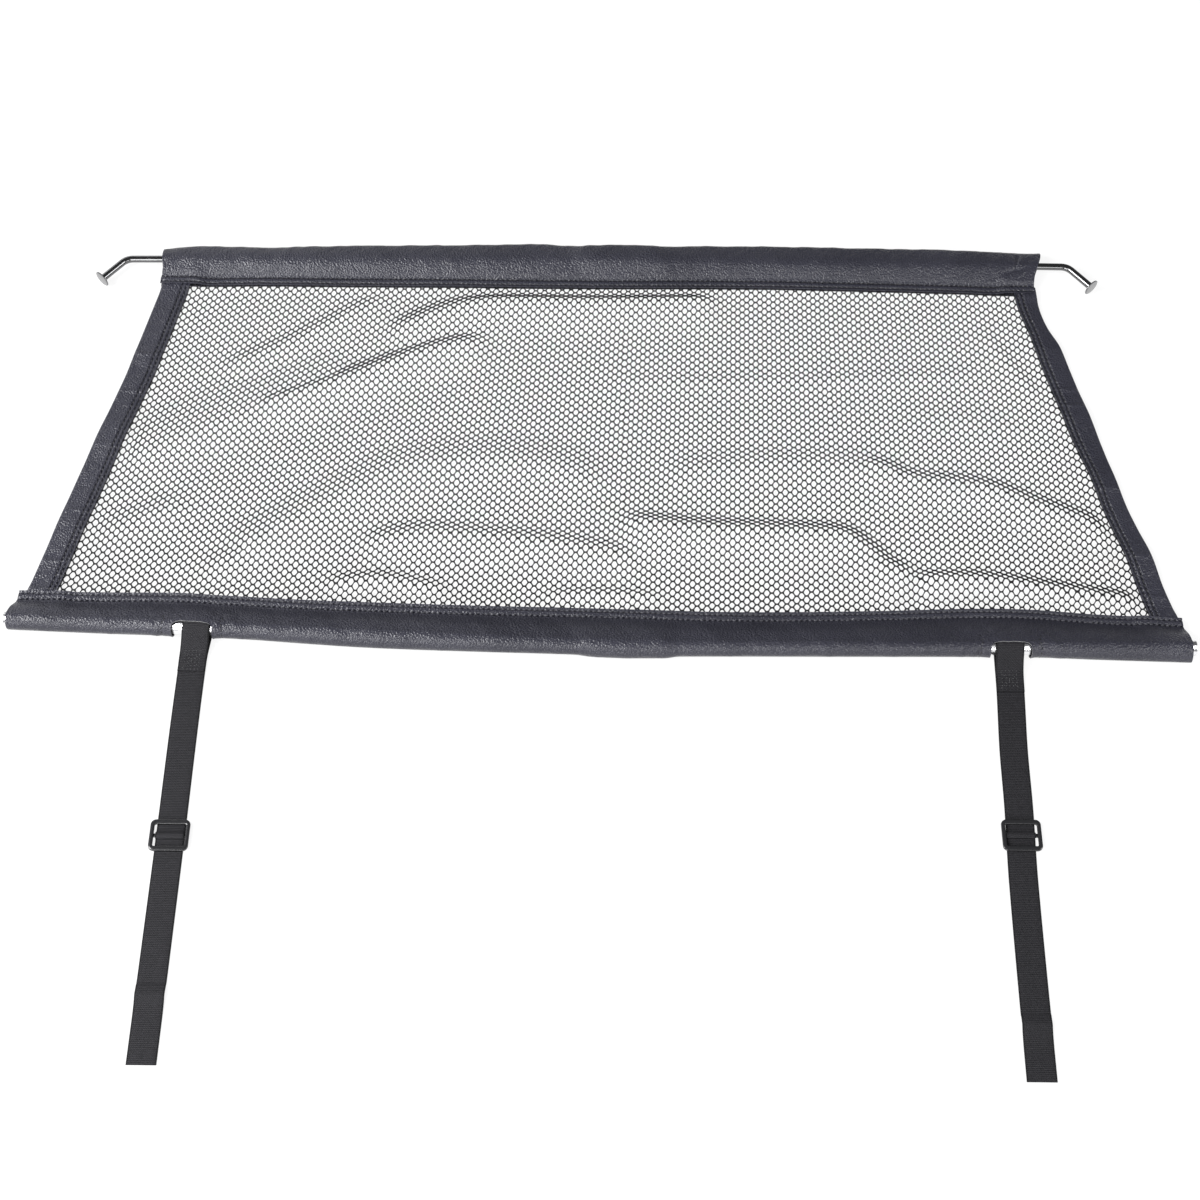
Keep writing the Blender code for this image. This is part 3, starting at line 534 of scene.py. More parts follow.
def knitted():
    """Matt polyester yarn of the mesh, with fine loops along the strands."""
    finish = Finish("knitted_mesh", Specular_IOR_Level=0.25)
    loops = finish.noise(0.55)
    finish.colour(loops, (0.0035, 0.0035, 0.004), (0.016, 0.016, 0.018))
    finish.roughness(finish.noise(25.0), 0.6, 0.85)
    finish.relief(loops, 0.6, 0.2)
    return finish.material


def webbing(name, dark, light):
    """Ribbed webbing; its map runs across the strap in u and along it in v, both in millimetres."""
    finish = Finish(name, Specular_IOR_Level=0.25)
    across, along = finish.map_axes("Weave")
    ribs = finish.maths("SINE", finish.times(along, 2 * math.pi / RIB))
    slant = finish.times(along, 0.5, across)
    twill = finish.maths("SINE", finish.times(slant, 2 * math.pi / TWILL))
    weave = finish.times(ribs, 0.5, finish.times(twill, 0.35))
    edge = finish.maths("GREATER_THAN", finish.maths("ABSOLUTE", across), STRAP_WIDTH / 2 - SELVEDGE)
    fuzz = finish.noise(0.9, 4.0)
    tone = finish.times(weave, 0.3, finish.times(fuzz, 2.0, -0.5))
    finish.colour(finish.times(edge, -0.55, tone), dark, light)
    finish.roughness(fuzz, 0.6, 0.8)
    finish.relief(finish.times(fuzz, 0.6, weave), 1.0, 0.3)
    return finish.material


def thread(name, dark, light):
    """Twisted sewing thread."""
    finish = Finish(name, Specular_IOR_Level=0.5, Roughness=0.45)
    twist = finish.noise(0.35)
    finish.colour(twist, dark, light)
    finish.relief(twist, 0.5, 0.1)
    return finish.material


def drawn_metal(name, dark, light, roughness):
    """Bare or plated metal with faint drawing marks and smudges."""
    finish = Finish(name, Metallic=1.0)
    stretch = {0: finish.place, 1: (0.03, 1.0, 1.0)}    # the marks run along x, the way it was drawn
    stretched = finish.node("ShaderNodeVectorMath", stretch, operation="MULTIPLY").outputs[0]
    marks = finish.noise(0.5, 3.0, stretched)
    smudges = finish.noise(14.0)
    finish.colour(smudges, dark, light)
    wear = finish.times(smudges, 0.6, finish.times(marks, 0.4))
    finish.roughness(wear, roughness * 0.6, roughness * 1.4)
    finish.relief(marks, 0.06, 0.05)
    return finish.material


def moulded_plastic():
    """Glossy black moulding with a faint orange-peel skin."""
    finish = Finish("moulded_plastic", Specular_IOR_Level=0.6)
    skin = finish.noise(0.9, 3.0)
    finish.colour(skin, (0.009, 0.009, 0.010), (0.020, 0.020, 0.022))
    finish.roughness(skin, 0.16, 0.3)
    finish.relief(skin, 0.12, 0.06)
    return finish.material


def floor_finish():
    """Plain white floor that glows evenly, like a light table, so that shadows on it are faint."""
    finish = Finish("pale_floor", Roughness=0.9, Specular_IOR_Level=0.1, Emission_Strength=0.86,
                    Emission_Color=(1.0, 1.0, 1.0, 1.0))
    finish.colour(finish.noise(400.0), (0.14, 0.14, 0.141), (0.16, 0.16, 0.161))
    return finish.material


SLEEVE_LEATHER = leatherette("sleeve_leatherette", HEM_ROWS)
BINDING_LEATHER = leatherette("binding_leatherette", BINDING_ROWS)
BACKING_AND_EDGE_HIGHLIGHT = backing_and_edge_highlight()
KNITTED = knitted()
BLACK_WEBBING = webbing("black_webbing", (0.002, 0.002, 0.003), (0.023, 0.0225, 0.026))
# one sewing thread in two copies: a lighter copy on the bottom hem is a painted highlight, a darker copy on
# the top hem, bindings and notches is painted shade
LIT_THREAD = thread("lit_thread", (0.028, 0.028, 0.035), (0.085, 0.085, 0.10))
SHADED_THREAD = thread("shaded_thread", (0.003, 0.003, 0.004), (0.012, 0.012, 0.015))
STRAP_THREAD = thread("strap_thread", (0.02, 0.02, 0.022), (0.07, 0.07, 0.075))
DARK_METAL = drawn_metal("black_nickel", (0.14, 0.14, 0.143), (0.19, 0.19, 0.194), 0.16)
DISC_METAL = drawn_metal("nickel_disc", (0.28, 0.28, 0.283), (0.38, 0.38, 0.384), 0.18)
BRIGHT_METAL = drawn_metal("bare_aluminium", (0.80, 0.80, 0.82), (0.92, 0.92, 0.93), 0.24)
PLASTIC = moulded_plastic()


# ---------------------------------------------------------------- stitches

def make_stitches(name, lines, material, axis=None, radius=THREAD_RADIUS, length=STITCH, gap=STITCH_GAP):
    """Rows of stitches along lines of points on a surface, each end dipping into it.

    With an axis, their middles are at whole steps of that coordinate, so that they meet the needle holes,
    which the leather's material dents and darkens with painted shade.
    """
    sides, rings = 6, 5
    free = 3.0          # a line's last stitches stay this far from its ends
    reach = np.linspace(-0.5, 0.5, rings)
    thick = np.array([0.0, 0.8, 1.0, 0.8, 0.0])
    rise = np.array([-0.8, 0.35, 0.6, 0.35, -0.8])
    cosines, sines = circle(sides)
    quad = ring_quads(rings, sides)
    pitch = length + gap
    points, quads = [], []
    for line in lines:
        line = np.asarray(line, float)
        run = run_to(line) if axis is None else line[:, axis]
        first = run[0] + 1.0 + pitch / 2 if axis is None else math.ceil((run[0] + free) / pitch) * pitch
        at = np.arange(first, run[-1] - free, pitch)[:, None] + reach * length
        centre = np.stack([np.interp(at, run, line[:, k]) for k in range(3)], axis=2)
        along = unit(centre[:, -1] - centre[:, 0])
        side = unit(np.cross((0.0, 0.0, 1.0), along))
        up = np.cross(along, side)
        centre = centre + up[:, None] * (rise * radius)[:, None]
        around = cosines[:, None] * side[:, None, None] + sines[:, None] * up[:, None, None]
        ring = centre[:, :, None] + around * (thick * radius)[:, None, None]
        for stitch in ring.reshape(len(at), -1, 3):
            quads.append(quad + len(points) * rings * sides)
            points.append(stitch)
    return mesh_object(name, np.concatenate(points), np.concatenate(quads), material)


def stitch_lines(rows, grid, distance, margin):
    """Lines of points on a surface, one for each row of stitches at its distance from the sewn edge.

    The margin is how many sections are left out at both ends.
    """
    return [[[np.interp(row, distance[i], grid[i, :, k]) for k in range(3)]
             for i in range(margin, len(grid) - margin)] for row in rows]


# ---------------------------------------------------------------- sleeves

def hem_rise(x, band_y):
    """How far the hem's upper layer is lifted, at a corner, by the binding's end inside it."""
    return CORNER_RISE * (1.0 - blend((from_bindings(x, band_y) - 5.0) / 19.0))


def close_to(x, places, half, ramp):
    """1 within half of a place, falling to 0 over the ramp."""
    return np.max([1.0 - blend((np.abs(x - place) - half) / ramp) for place in places], axis=0)


def sections(path):
    """Sections of a sleeve at each x, from the (y, z) of each point round it."""
    return np.stack([np.stack(np.broadcast_arrays(y, z), axis=1) for y, z in path], axis=1)


def bottom_outline(x):
    """Sections of the bottom sleeve: hem, over the tube, round its front and back underneath."""
    tube_y = line_at(TUBE_LINE, x)
    edge = near_edge(x)
    slack = value_at(BOTTOM_SLEEVE, x, 2)
    hem_z = BINDING_THICKNESS + hem_rise(x, edge)
    joiner = close_to(x, (TUBE_LINE[1][0],), JOINER_LENGTH / 2 - 4.0, 20.0)
    loop = close_to(x, NOTCHES, STRAP_WIDTH / 2 + 1.25, 9.0)
    snug = (TUBE_RADIUS + GAP) * CHORD + LEATHER
    wide = (TUBE_RADIUS + WEBBING + 2.5 * GAP) * CHORD + LEATHER
    radius = snug + (wide - snug) * np.maximum(joiner, loop)
    flat = np.zeros_like(x)
    turns = (60, 90, 120, 150, 180, 215)        # degrees round the tube, from the hem's side over its top
    rise_y, rise_z = edge - BAND - 3.5, hem_z + 2.2
    shoulder_y = tube_y + radius * math.cos(math.radians(turns[0]))
    shoulder_z = TUBE_HEIGHT + radius * math.sin(math.radians(turns[0]))
    path = [(edge, hem_z), (edge - BAND / 2, hem_z), (edge - BAND, hem_z), (rise_y, rise_z),
            ((rise_y + shoulder_y) / 2, (rise_z + shoulder_z) / 2 + 1.6)]
    for degrees in turns:
        angle = math.radians(degrees)
        lean = slack * (1.0 - math.cos(math.radians(max(0, degrees - 90)))) / 1.4
        path.append((tube_y + radius * math.cos(angle) - lean, TUBE_HEIGHT + radius * math.sin(angle)))
    path += [(tube_y - 0.45 * radius - slack, flat), (tube_y + 1.0, flat),
             (tube_y + 0.3 * (edge - tube_y), flat), (edge - BAND, flat), (edge, flat)]
    return sections(path)


def bottom_skew(x, y):
    """The sleeve's ends are cut back towards the hem."""
    back = blend((y - line_at(TUBE_LINE, x)) / 34.0)
    return 5.0 * back * blend((-560.0 - x) / 50.0) - 3.0 * back * blend((x - 560.0) / 45.0)


def top_outline(x):
    """Sections of the top sleeve: hem, over the rod, round the far fold and back underneath."""
    rod_y = line_at(ROD_LINE, x)
    edge = far_edge(x)
    fold = value_at(TOP_SLEEVE, x, 2)
    hem_z = BINDING_THICKNESS + hem_rise(x, edge)
    joiner = close_to(x, (ROD_LINE[1][0],), JOINER_LENGTH / 2 - 8.0, 30.0)
    crown = ROD_HEIGHT + ROD_RADIUS + 2 * GAP + LEATHER + (ROD_JOINER_RADIUS - ROD_RADIUS) * joiner
    start = edge + BAND
    flat = np.zeros_like(x)
    return sections([
        (edge, hem_z), (edge + BAND / 2, hem_z), (start, hem_z), (start + 3.5, hem_z + 3.0),
        (rod_y - 10.0, crown - 2.2), (rod_y - 3.5, crown), (rod_y + 4.0, crown), (fold - 6.5, crown - 2.2),
        (fold - 1.8, 9.8), (fold, 6.4), (fold - 1.6, 2.6), (fold - 5.5, flat), (rod_y - 8.0, flat),
        (start, flat), (edge, flat)])


def top_skew(x, y):
    """The right end slants back towards the hem; the left end is nearly square, with a round far corner."""
    left_end = blend((-488.0 - x) / 20.0)
    left = 3.5 * blend((y - 518.0) / 7.0) + 1.5 * bump_at(y, 492.0, 14.0)
    return left * left_end - 10.0 * blend((522.0 - y) / 40.0) * blend((x - 440.0) / 60.0)


def dimples(x, distance, rows):
    """Depth that rows of stitches draw the leather in, by the distance from the hem's edge."""
    pull = 0.95 + 0.15 * ripple(x, 31.0, 3.0)
    return pull * sum(bump_at(distance, row, 2.0) for row in rows)


def sleeve_surface(x, outline, skew, creases):
    """Outer and inner points of a folded strip, with its creases and the dimples of its stitches.

    Also each point's distance from the hem's edge, along its section.
    """
    path = smooth_rows(outline(x), SLEEVE_STEPS)
    turns = 1.0 if path[0, SLEEVE_STEPS, 0] > path[0, 0, 0] else -1.0
    outwards = -side_normals(path) * turns
    path = path + outwards * creases(x[:, None], path)[..., None]
    distance = run_to(path)
    depth = np.where(distance < BAND + 6.0, dimples(x[:, None], distance, HEM_ROWS), 0.0)
    grids = []
    for section in (path - outwards * depth[..., None], path - outwards * LEATHER):
        y, z = section[..., 0], section[..., 1]
        grids.append(np.stack((x[:, None] + skew(x[:, None], y), y, np.maximum(z, 0.0)), axis=2))
    return grids[0], grids[1], distance


def sewn_sleeve(name, outer, inner, distance, thread_look, kept=None, flip=False):
    """Leather of a sleeve, and the stitches of its hem."""
    seam = np.stack((outer[..., 0], distance), axis=2)
    sleeve = shell(name + "_leather", outer, inner, SLEEVE_LEATHER, seam, kept, flip)
    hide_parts(name)
    lines = stitch_lines(HEM_ROWS, outer, distance, margin=3)
    stitches = make_stitches(name + "_stitches", lines, thread_look, axis=0)
    return sleeve, stitches


def notch_shift(x, distance, notch, top):
    """How far points round a notch move towards its middle, so that its corners are round."""
    below = distance - distance[:, top:top + 1]
    to_round = np.clip(NOTCH_CORNER - below, 0, None)
    corner = NOTCH_CORNER - np.sqrt(np.maximum(NOTCH_CORNER ** 2 - to_round ** 2, 0))
    shift = np.where(below >= 0, corner, NOTCH_CORNER * (1.0 - blend(-below / 9.0)))
    off = np.abs(x - notch)[:, None]
    half = NOTCH_WIDTH / 2
    share = np.where(off < half, off / half, 1.0 - blend((off - half) / 16.0))
    return -np.sign(x - notch)[:, None] * shift * share


def bottom_creases(x, path):
    """Lift of the bottom sleeve's leather: slow waves, folded hems at the notches and creases."""
    y, z = path[..., 0] - line_at(TUBE_LINE, x), path[..., 1]
    clear = blend((z - 3.0) / 5.0)              # nothing lifts where the sleeve lies on the floor
    front = clear * (y < 12.0)
    fading = clear * blend(1.0 - np.abs(y) / 26.0)
    lift = clear * (0.35 * ripple(x + 0.8 * y, 58.0, 1.0) + 0.18 * ripple(x - 1.2 * y, 23.0, 4.0))
    for notch in NOTCHES:
        off = np.abs(x - notch) - NOTCH_WIDTH / 2
        folded = blend((off + 3.0) / 3.0) * (1.0 - blend((off - 8.5) / 1.5))
        lift = lift + front * (0.55 * folded - 0.5 * bump_at(off, NOTCH_SEW, 2.0))
        for lean, reach in ((0.9, 30.0), (-0.7, 44.0)):
            place = x - notch - lean * y
            lift = lift + fading * (0.7 * bump_at(place, reach, 7.0) + 0.6 * bump_at(place, -reach, 7.0))
    return lift


def show_backing_and_edge_highlight(sleeve, sheet_faces):
    """The cut edges round the notches, after the faces of the sheet itself, show the pale backing, which is
    partly a painted highlight along the notches' edges.
    """
    sleeve.data.materials.append(BACKING_AND_EDGE_HIGHLIGHT)
    for face in sleeve.data.polygons[sheet_faces:]:
        x, y = face.center.x / MM - SHIFT[0], face.center.y / MM - SHIFT[1]
        if y < near_edge(x) - 20.0 and min(abs(x - notch) for notch in NOTCHES) < NOTCH_WIDTH:
            face.material_index = 1


def bottom_stations():
    """Where along x the bottom sleeve has its sections: finer round the notches."""
    left_end, right_end, around = -611.8, 606.5, NOTCH_WIDTH / 2 + 16.0
    marks = [left_end]
    for notch in NOTCHES:
        marks += [notch + offset for offset in (-around, -NOTCH_WIDTH / 2, NOTCH_WIDTH / 2, around)]
    marks.append(right_end)
    stations = []
    for a, b in zip(marks, marks[1:]):
        step = 2.0 if b - a < 50.0 else 3.6
        stations.append(np.linspace(a, b, max(2, round((b - a) / step)), endpoint=False))
    return np.concatenate(stations + [[right_end]])


def make_bottom_sleeve():
    """The bottom sleeve, with its two hemmed notches for the straps."""
    x = bottom_stations()
    outer, inner, distance = sleeve_surface(x, bottom_outline, bottom_skew, bottom_creases)
    # a notch starts and ends at these rows; its side seams run from before it to the sleeve's underside
    top, under = round(5.75 * SLEEVE_STEPS), 12 * SLEEVE_STEPS
    seam_top, seam_end = top - 7, under - SLEEVE_STEPS
    kept = np.ones((outer.shape[0] - 1, outer.shape[1] - 1), bool)
    middle = (x[1:] + x[:-1]) / 2
    side_lines = []
    for notch in NOTCHES:
        shift = notch_shift(x, distance, notch, top)
        outer[..., 0] += shift
        inner[..., 0] += shift
        kept[np.abs(middle - notch) < NOTCH_WIDTH / 2, top:under] = False
        for side in (-1, 1):
            i = int(np.argmin(np.abs(x - notch - side * (NOTCH_WIDTH / 2 + NOTCH_SEW))))
            side_lines.append(outer[i, seam_top:seam_end])
    sleeve, stitches = sewn_sleeve("bottom_sleeve", outer, inner, distance, LIT_THREAD, kept, flip=True)
    show_backing_and_edge_highlight(sleeve, 2 * int(kept.sum()))
    sides = make_stitches("notch_stitches", side_lines, SHADED_THREAD)


def top_creases(x, path):
    """Lift of the top sleeve's leather: slow waves and the creases at its right end."""
    y, z = path[..., 0] - line_at(ROD_LINE, x), path[..., 1]
    clear = blend((z - 3.0) / 5.0)
    lift = clear * (0.30 * ripple(x + 0.6 * y, 66.0, 2.0) + 0.16 * ripple(x - 1.5 * y, 27.0, 5.0))
    over = blend((y + 10.0) / 4.0) * blend((14.0 - y) / 6.0)
    lift = lift + clear * over * (0.7 * bump_at(x, 481.5, 5.0) - 1.3 * bump_at(x, 476.5, 3.0))
    front = blend(1.0 - np.abs(y + 13.0) / 11.0)
    slant = x - 3.4 * y
    lift = lift + clear * front * (0.9 * bump_at(slant, 530.0, 22.0) - 1.2 * bump_at(slant, 507.0, 12.0))
    for place, lean in ((-372.0, 0.8), (-180.0, -0.6), (-28.0, 0.5), (66.0, -0.5), (250.0, 0.7)):
        lift = lift + 0.5 * clear * bump_at(x - lean * y, place, 9.0)
    return lift


def make_top_sleeve():
    """The top sleeve, with finer sections at its creased right end."""
    left_end, creased, right_end = -509.0, 430.0, 503.0
    x = np.concatenate((np.linspace(left_end, creased, 269), np.linspace(creased + 1.0, right_end, 61)))
    outer, inner, distance = sleeve_surface(x, top_outline, top_skew, top_creases)
    sleeve, stitches = sewn_sleeve("top_sleeve", outer, inner, distance, SHADED_THREAD)


# ---------------------------------------------------------------- bindings

def wave_rise(waves, y):
    """Height of a binding's waves."""
    return sum(rise * blend(1.0 - np.abs(y - crest) / half) for crest, rise, half in waves)


def row_y(share, x):
    """Y at a share of the way from the tuck in the bottom hem to the tuck in the top one."""
    low, high = near_edge(x) - TUCK, far_edge(x) + TUCK
    return low + (high - low) * share


def binding_rise(waves, x, y):
    """A binding's ends stand on the sleeves' lower layers, and it waves in between."""
    free = blend((from_hems(x, y) - 2.0) / 12.0)
    return BINDING_RISE * (1.0 - free) + wave_rise(waves, y) * free


def make_binding(side, table, waves, creases):
    """Strip folded over the mesh's side edge; side is -1 on the left and 1 on the right."""
    stations, middle_x, clear_station = 280, side * 520.0, 95
    share = np.linspace(0.0, 1.0, stations)[:, None]
    y0 = row_y(share, np.full_like(share, middle_x))
    edge, inner_edge = value_at(table, y0, 1), value_at(table, y0, 2)
    width = np.abs(edge - inner_edge)
    top, fine = BINDING_THICKNESS, 28       # spans of the upper layer, if it had no rounded edge
    reach = [width * k / fine for k in range(fine, 2, -1)]
    reach += [2.0, 0.9, 0.3, 0.0, 0.3, 0.9, 2.0]
    reach += [width * k / 5.0 for k in range(1, 6)]
    height = [top] * (fine - 1) + [top - 0.25, top - 0.9, top / 2, 0.9, 0.25, 0.0] + [0.0] * 5
    reach = np.concatenate([np.broadcast_to(r, width.shape) for r in reach], axis=1)
    section = np.stack((reach, np.broadcast_to(height, reach.shape)), axis=2)
    outwards = side_normals(section)
    inwards = width - reach
    upper = np.arange(section.shape[1]) < fine - 1
    lift = 0.0
    for place, rise, half, bow in creases:
        lift = lift + rise * bump_at(y0 - bow * (reach / 30.0 - 0.5) ** 2, place, half)
    lift = lift + 0.22 * ripple(y0 + 0.5 * reach, 31.0, side + 2.0)
    lift = lift * upper * blend(reach / 5.0) * blend(inwards / 6.0)
    depth = np.where(upper, dimples(y0, inwards, BINDING_ROWS), 0.0)
    grids = []
    for moved in (section + outwards * (lift - depth)[..., None],
                  section + outwards * (lift - LEATHER)[..., None]):
        x = edge - side * moved[..., 0]
        y = row_y(share, x)
        grids.append(np.stack((x, y, np.maximum(moved[..., 1], 0.0) + binding_rise(waves, x, y)), axis=2))
    name = "binding_left" if side < 0 else "binding_right"
    seam = np.stack((grids[0][..., 1], np.where(upper, inwards, NO_SEAM)), axis=2)
    binding = shell(name + "_leather", grids[0], grids[1], BINDING_LEATHER, seam, flip=side > 0)
    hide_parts("side_" + name)
    lines = stitch_lines(BINDING_ROWS, grids[0][:, :fine - 1], inwards[:, :fine - 1], margin=6)
    stitches = make_stitches(name + "_stitches", lines, SHADED_THREAD, axis=1)


# ---------------------------------------------------------------- mesh panel

def ridge(x, y, crest, near_half, far_half, line):
    """Height of one fold: a smooth ridge along its crest line, dying away at both ends."""
    line = smooth_rows(np.array([line], float), 5)[0]
    run_at = run_to(line)
    best = np.full(x.shape, np.inf)
    run, side = np.zeros_like(x), np.zeros_like(x)
    for a, b, start in zip(line, line[1:], run_at):
        span = np.linalg.norm(b - a)
        ux, uy = (b - a) / span
        t = np.clip((x - a[0]) * ux + (y - a[1]) * uy, 0.0, span)
        ox, oy = x - a[0] - ux * t, y - a[1] - uy * t
        distance = np.hypot(ox, oy)
        nearer = distance < best
        best = np.where(nearer, distance, best)
        run = np.where(nearer, start + t, run)
        side = np.where(nearer, ux * oy - uy * ox, side)
    half = np.where(side > 0, far_half, near_half)
    ends = blend(np.minimum(run, run_at[-1] - run) / FOLD_FADE + 0.1)
    share = np.clip(1.0 - best / half, 0.0, 1.0)
    return crest * ends * (blend(share) + np.where(side > 0, share, share * share)) / 2


def mesh_height(x, y):
    """Underside of the mesh: folds in the open, and held between the layers at its edges."""
    from_side, from_hem = from_bindings(x, y), from_hems(x, y)
    inside = np.minimum(from_side, from_hem)
    by_side = 1.0 - blend((from_side - 3.0) / 13.0)
    by_hem = 1.0 - blend((from_hem - 2.0) / 12.0)
    waves = np.where(x < 0, wave_rise(LEFT_WAVES, y), wave_rise(RIGHT_WAVES, y))
    held = (LEATHER + GAP) * (1.0 - blend((inside - 2.0) / 12.0))
    held = held + by_side * (BINDING_RISE * by_hem + waves * (1.0 - by_hem))
    height = np.zeros_like(x)
    for fold in FOLDS:
        height = np.maximum(height, ridge(x, y, *fold))
    return held + height * blend(inside / EDGE_FADE)


def strand_height(x, y):
    """Strands are pressed flat between the layers of a hem or binding and round in the open."""
    inside = np.minimum(from_bindings(x, y), from_hems(x, y))
    return MESH_CLOTH + (YARN - MESH_CLOTH) * blend((inside - 1.0) / 9.0)


def mesh_slopes(x, y):
    """Slopes of the mesh along x and along y."""
    here = mesh_height(x, y)
    return mesh_height(x + 1.0, y) - here, mesh_height(x, y + 1.0) - here


def plan_places(s, t):
    """Plan x and y of points s across and t along the flat cloth; folds take up its length."""
    x_step, y_step = 5.0, 1.5
    xs, ys = np.arange(-640.0, 641.0, x_step), np.arange(-20.0, 560.0, y_step)
    grid_x, grid_y = np.meshgrid(xs, ys, indexing="ij")
    slope = np.gradient(mesh_height(grid_x, grid_y), y_step, axis=1)
    arc = np.cumsum(np.sqrt(1.0 + slope * slope), axis=1) * y_step
    middle = int(np.argmin(np.abs(ys - NET_MIDDLE)))
    arc = arc - arc[:, middle:middle + 1] + ys[middle]
    runs = np.arange(-60.0, 600.0, y_step)
    back = np.stack([np.interp(runs, row, ys) for row in arc])
    x = s + COLUMN_LEAN * (1.0 - s / LEAN_END) * t
    run = NET_MIDDLE + t + ROW_SLOPE * s
    i = np.clip((x - xs[0]) / x_step, 0, len(xs) - 1.001)
    j = np.clip((run - runs[0]) / y_step, 0, len(runs) - 1.001)
    i0, j0 = i.astype(int), j.astype(int)
    u, v = i - i0, j - j0
    before = back[i0, j0] * (1 - u) + back[i0 + 1, j0] * u
    after = back[i0, j0 + 1] * (1 - u) + back[i0 + 1, j0 + 1] * u
    return x, before * (1 - v) + after * v


def mesh_cells():
    """Middles of the cells whose plan place is in the panel or just inside its hems (s, t)."""
    columns, rows = np.arange(-126, 127), np.arange(-60, 61)        # more than the panel has
    i, k = np.meshgrid(columns, rows, indexing="ij")
    kept = (i + k) % 2 == 0
    s, t = i[kept] * CELL_ACROSS / 2, k[kept] * CELL_ALONG / 2
    x, y = plan_places(s, t)
    inside = np.minimum(from_bindings(x, y), from_hems(x, y)) > -5.0
    return s[inside], t[inside]


def cell_stretch(cells):
    """How much larger a cell's hole is: stretched up the near side of a fold, slack down its far side."""
    slope = mesh_slopes(*plan_places(cells[:, 0], cells[:, 1]))[1]
    return 0.99 + np.clip(0.15 * slope, -0.10, 0.05)


def cell_outline():
    """Twelve points round a cell's edge, at the middle of the strands, and twelve round its hole."""
    a, half, quarter = BAR_HALF, CELL_ALONG / 2, CELL_ACROSS / 2
    side = (quarter - a, 0.0)
    first = [side, ((side[0] + a) / 2, half / 2), (a, half), (0.0, half)]
    rings = []
    for points in (first, HOLE):
        ring = list(points)
        ring += [(-x, y) for x, y in reversed(points[:3])]
        ring += [(x, -y) for x, y in reversed(ring[1:6])]
        rings.append(np.array(ring))
    return rings


def net_mesh(cells):
    """Points and faces of the strands round some cells: an edge above and below, and each hole's ring.

    Cells share their edges, and walls close the edges that only one of them has.
    """
    edge_ring, hole_ring = cell_outline()
    edge = (cells[:, None] + edge_ring).reshape(-1, 2)
    hole = (cells[:, None] + hole_ring * cell_stretch(cells)[:, None, None]).reshape(-1, 2)
    # points less than about a twentieth of a millimetre apart are one
    keys, shared = np.unique(np.round(edge * 20.0).astype(np.int64), axis=0, return_inverse=True)
    shared = shared.reshape(-1)
    n = len(keys)
    places = np.zeros((n, 2))
    places[shared] = edge
    x, y = plan_places(*np.concatenate((places, hole)).T)
    slope_x, slope_y = mesh_slopes(x, y)
    upwards = unit(np.stack((-slope_x, -slope_y, np.ones_like(x)), axis=1)) * strand_height(x, y)[:, None]
    under = np.stack((x, y, mesh_height(x, y)), axis=1)
    points = np.concatenate((under[:n] + upwards[:n], under[:n], under[n:] + upwards[n:] / 2))
    outer = shared.reshape(-1, 12)
    ring = (2 * n + np.arange(len(hole))).reshape(-1, 12)
    next_outer, next_ring = np.roll(outer, -1, axis=1), np.roll(ring, -1, axis=1)
    here, there = outer.reshape(-1), next_outer.reshape(-1)
    rim = ~np.isin(here * n + there, there * n + here)
    quads = np.concatenate((np.stack((outer, next_outer, next_ring, ring), axis=2).reshape(-1, 4),
                            np.stack((ring, next_ring, next_outer + n, outer + n), axis=2).reshape(-1, 4),
                            np.stack((there, here, here + n, there + n), axis=1)[rim]))
    return points, quads


def make_net():
    """The mesh panel, a strand round every cell, in three pieces side by side."""
    s, t = mesh_cells()
    shares = np.quantile(s, (0.0, 1 / 3, 2 / 3, 1.0))
    shares[-1] += 1.0
    for name, low, high in zip(("left", "middle", "right"), shares, shares[1:]):
        mine = (s >= low) & (s < high)
        cells = np.stack((s[mine], t[mine]), axis=1)
        piece = mesh_object("net_" + name, *net_mesh(cells), KNITTED)
        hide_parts("net")


# ---------------------------------------------------------------- straps and slides

def strap_path(tube_y, glide_y, crease_y, end_y):
    """Middle line of the webbing in the plane of its length, from the lap's hidden end on."""
    low = WEBBING / 2
    over = low + WEBBING + GAP
    loop = (TUBE_RADIUS + GAP) / math.cos(math.radians(10.0)) + WEBBING / 2
    lap_end = tube_y - LAP
    path = [(lap_end, low), (tube_y - 40.0, low), (tube_y - 20.0, low + 0.2), (tube_y - 9.0, low + 0.8)]
    for degrees in (*range(280, 441, 20), 460, 480, 498):
        angle = math.radians(degrees)
        path.append((tube_y + loop * math.cos(angle), TUBE_HEIGHT + loop * math.sin(angle)))
    hump = GLIDE_HEIGHT + GLIDE_MIDDLE_THICKNESS + GAP + WEBBING / 2
    window = GLIDE_SIZE[1] / 2 - GLIDE_BAR - 1.5
    crest = GLIDE_MIDDLE_BAR / 2 + 0.8
    return np.array(path + [
        (tube_y - 15.0, 10.0), (tube_y - 26.0, over + 1.6), (tube_y - 40.0, over), (lap_end - 1.0, over),
        (lap_end - 9.0, low), (glide_y + window, low), (glide_y + crest, hump), (glide_y - crest, hump),
        (glide_y - window, low), (crease_y + 26.0, low), (crease_y + 9.0, low + 1.4), (crease_y, low + 3.0),
        (crease_y - 8.0, low + 1.2), (crease_y - 24.0, low), (end_y, low)])


def even_steps(line, step):
    """A line's points respaced to an even step, and the way run to each."""
    run = run_to(line)
    places = np.linspace(0.0, run[-1], int(run[-1] / step) + 1)
    return np.stack([np.interp(places, run, line[:, k]) for k in range(line.shape[1])], axis=1), places


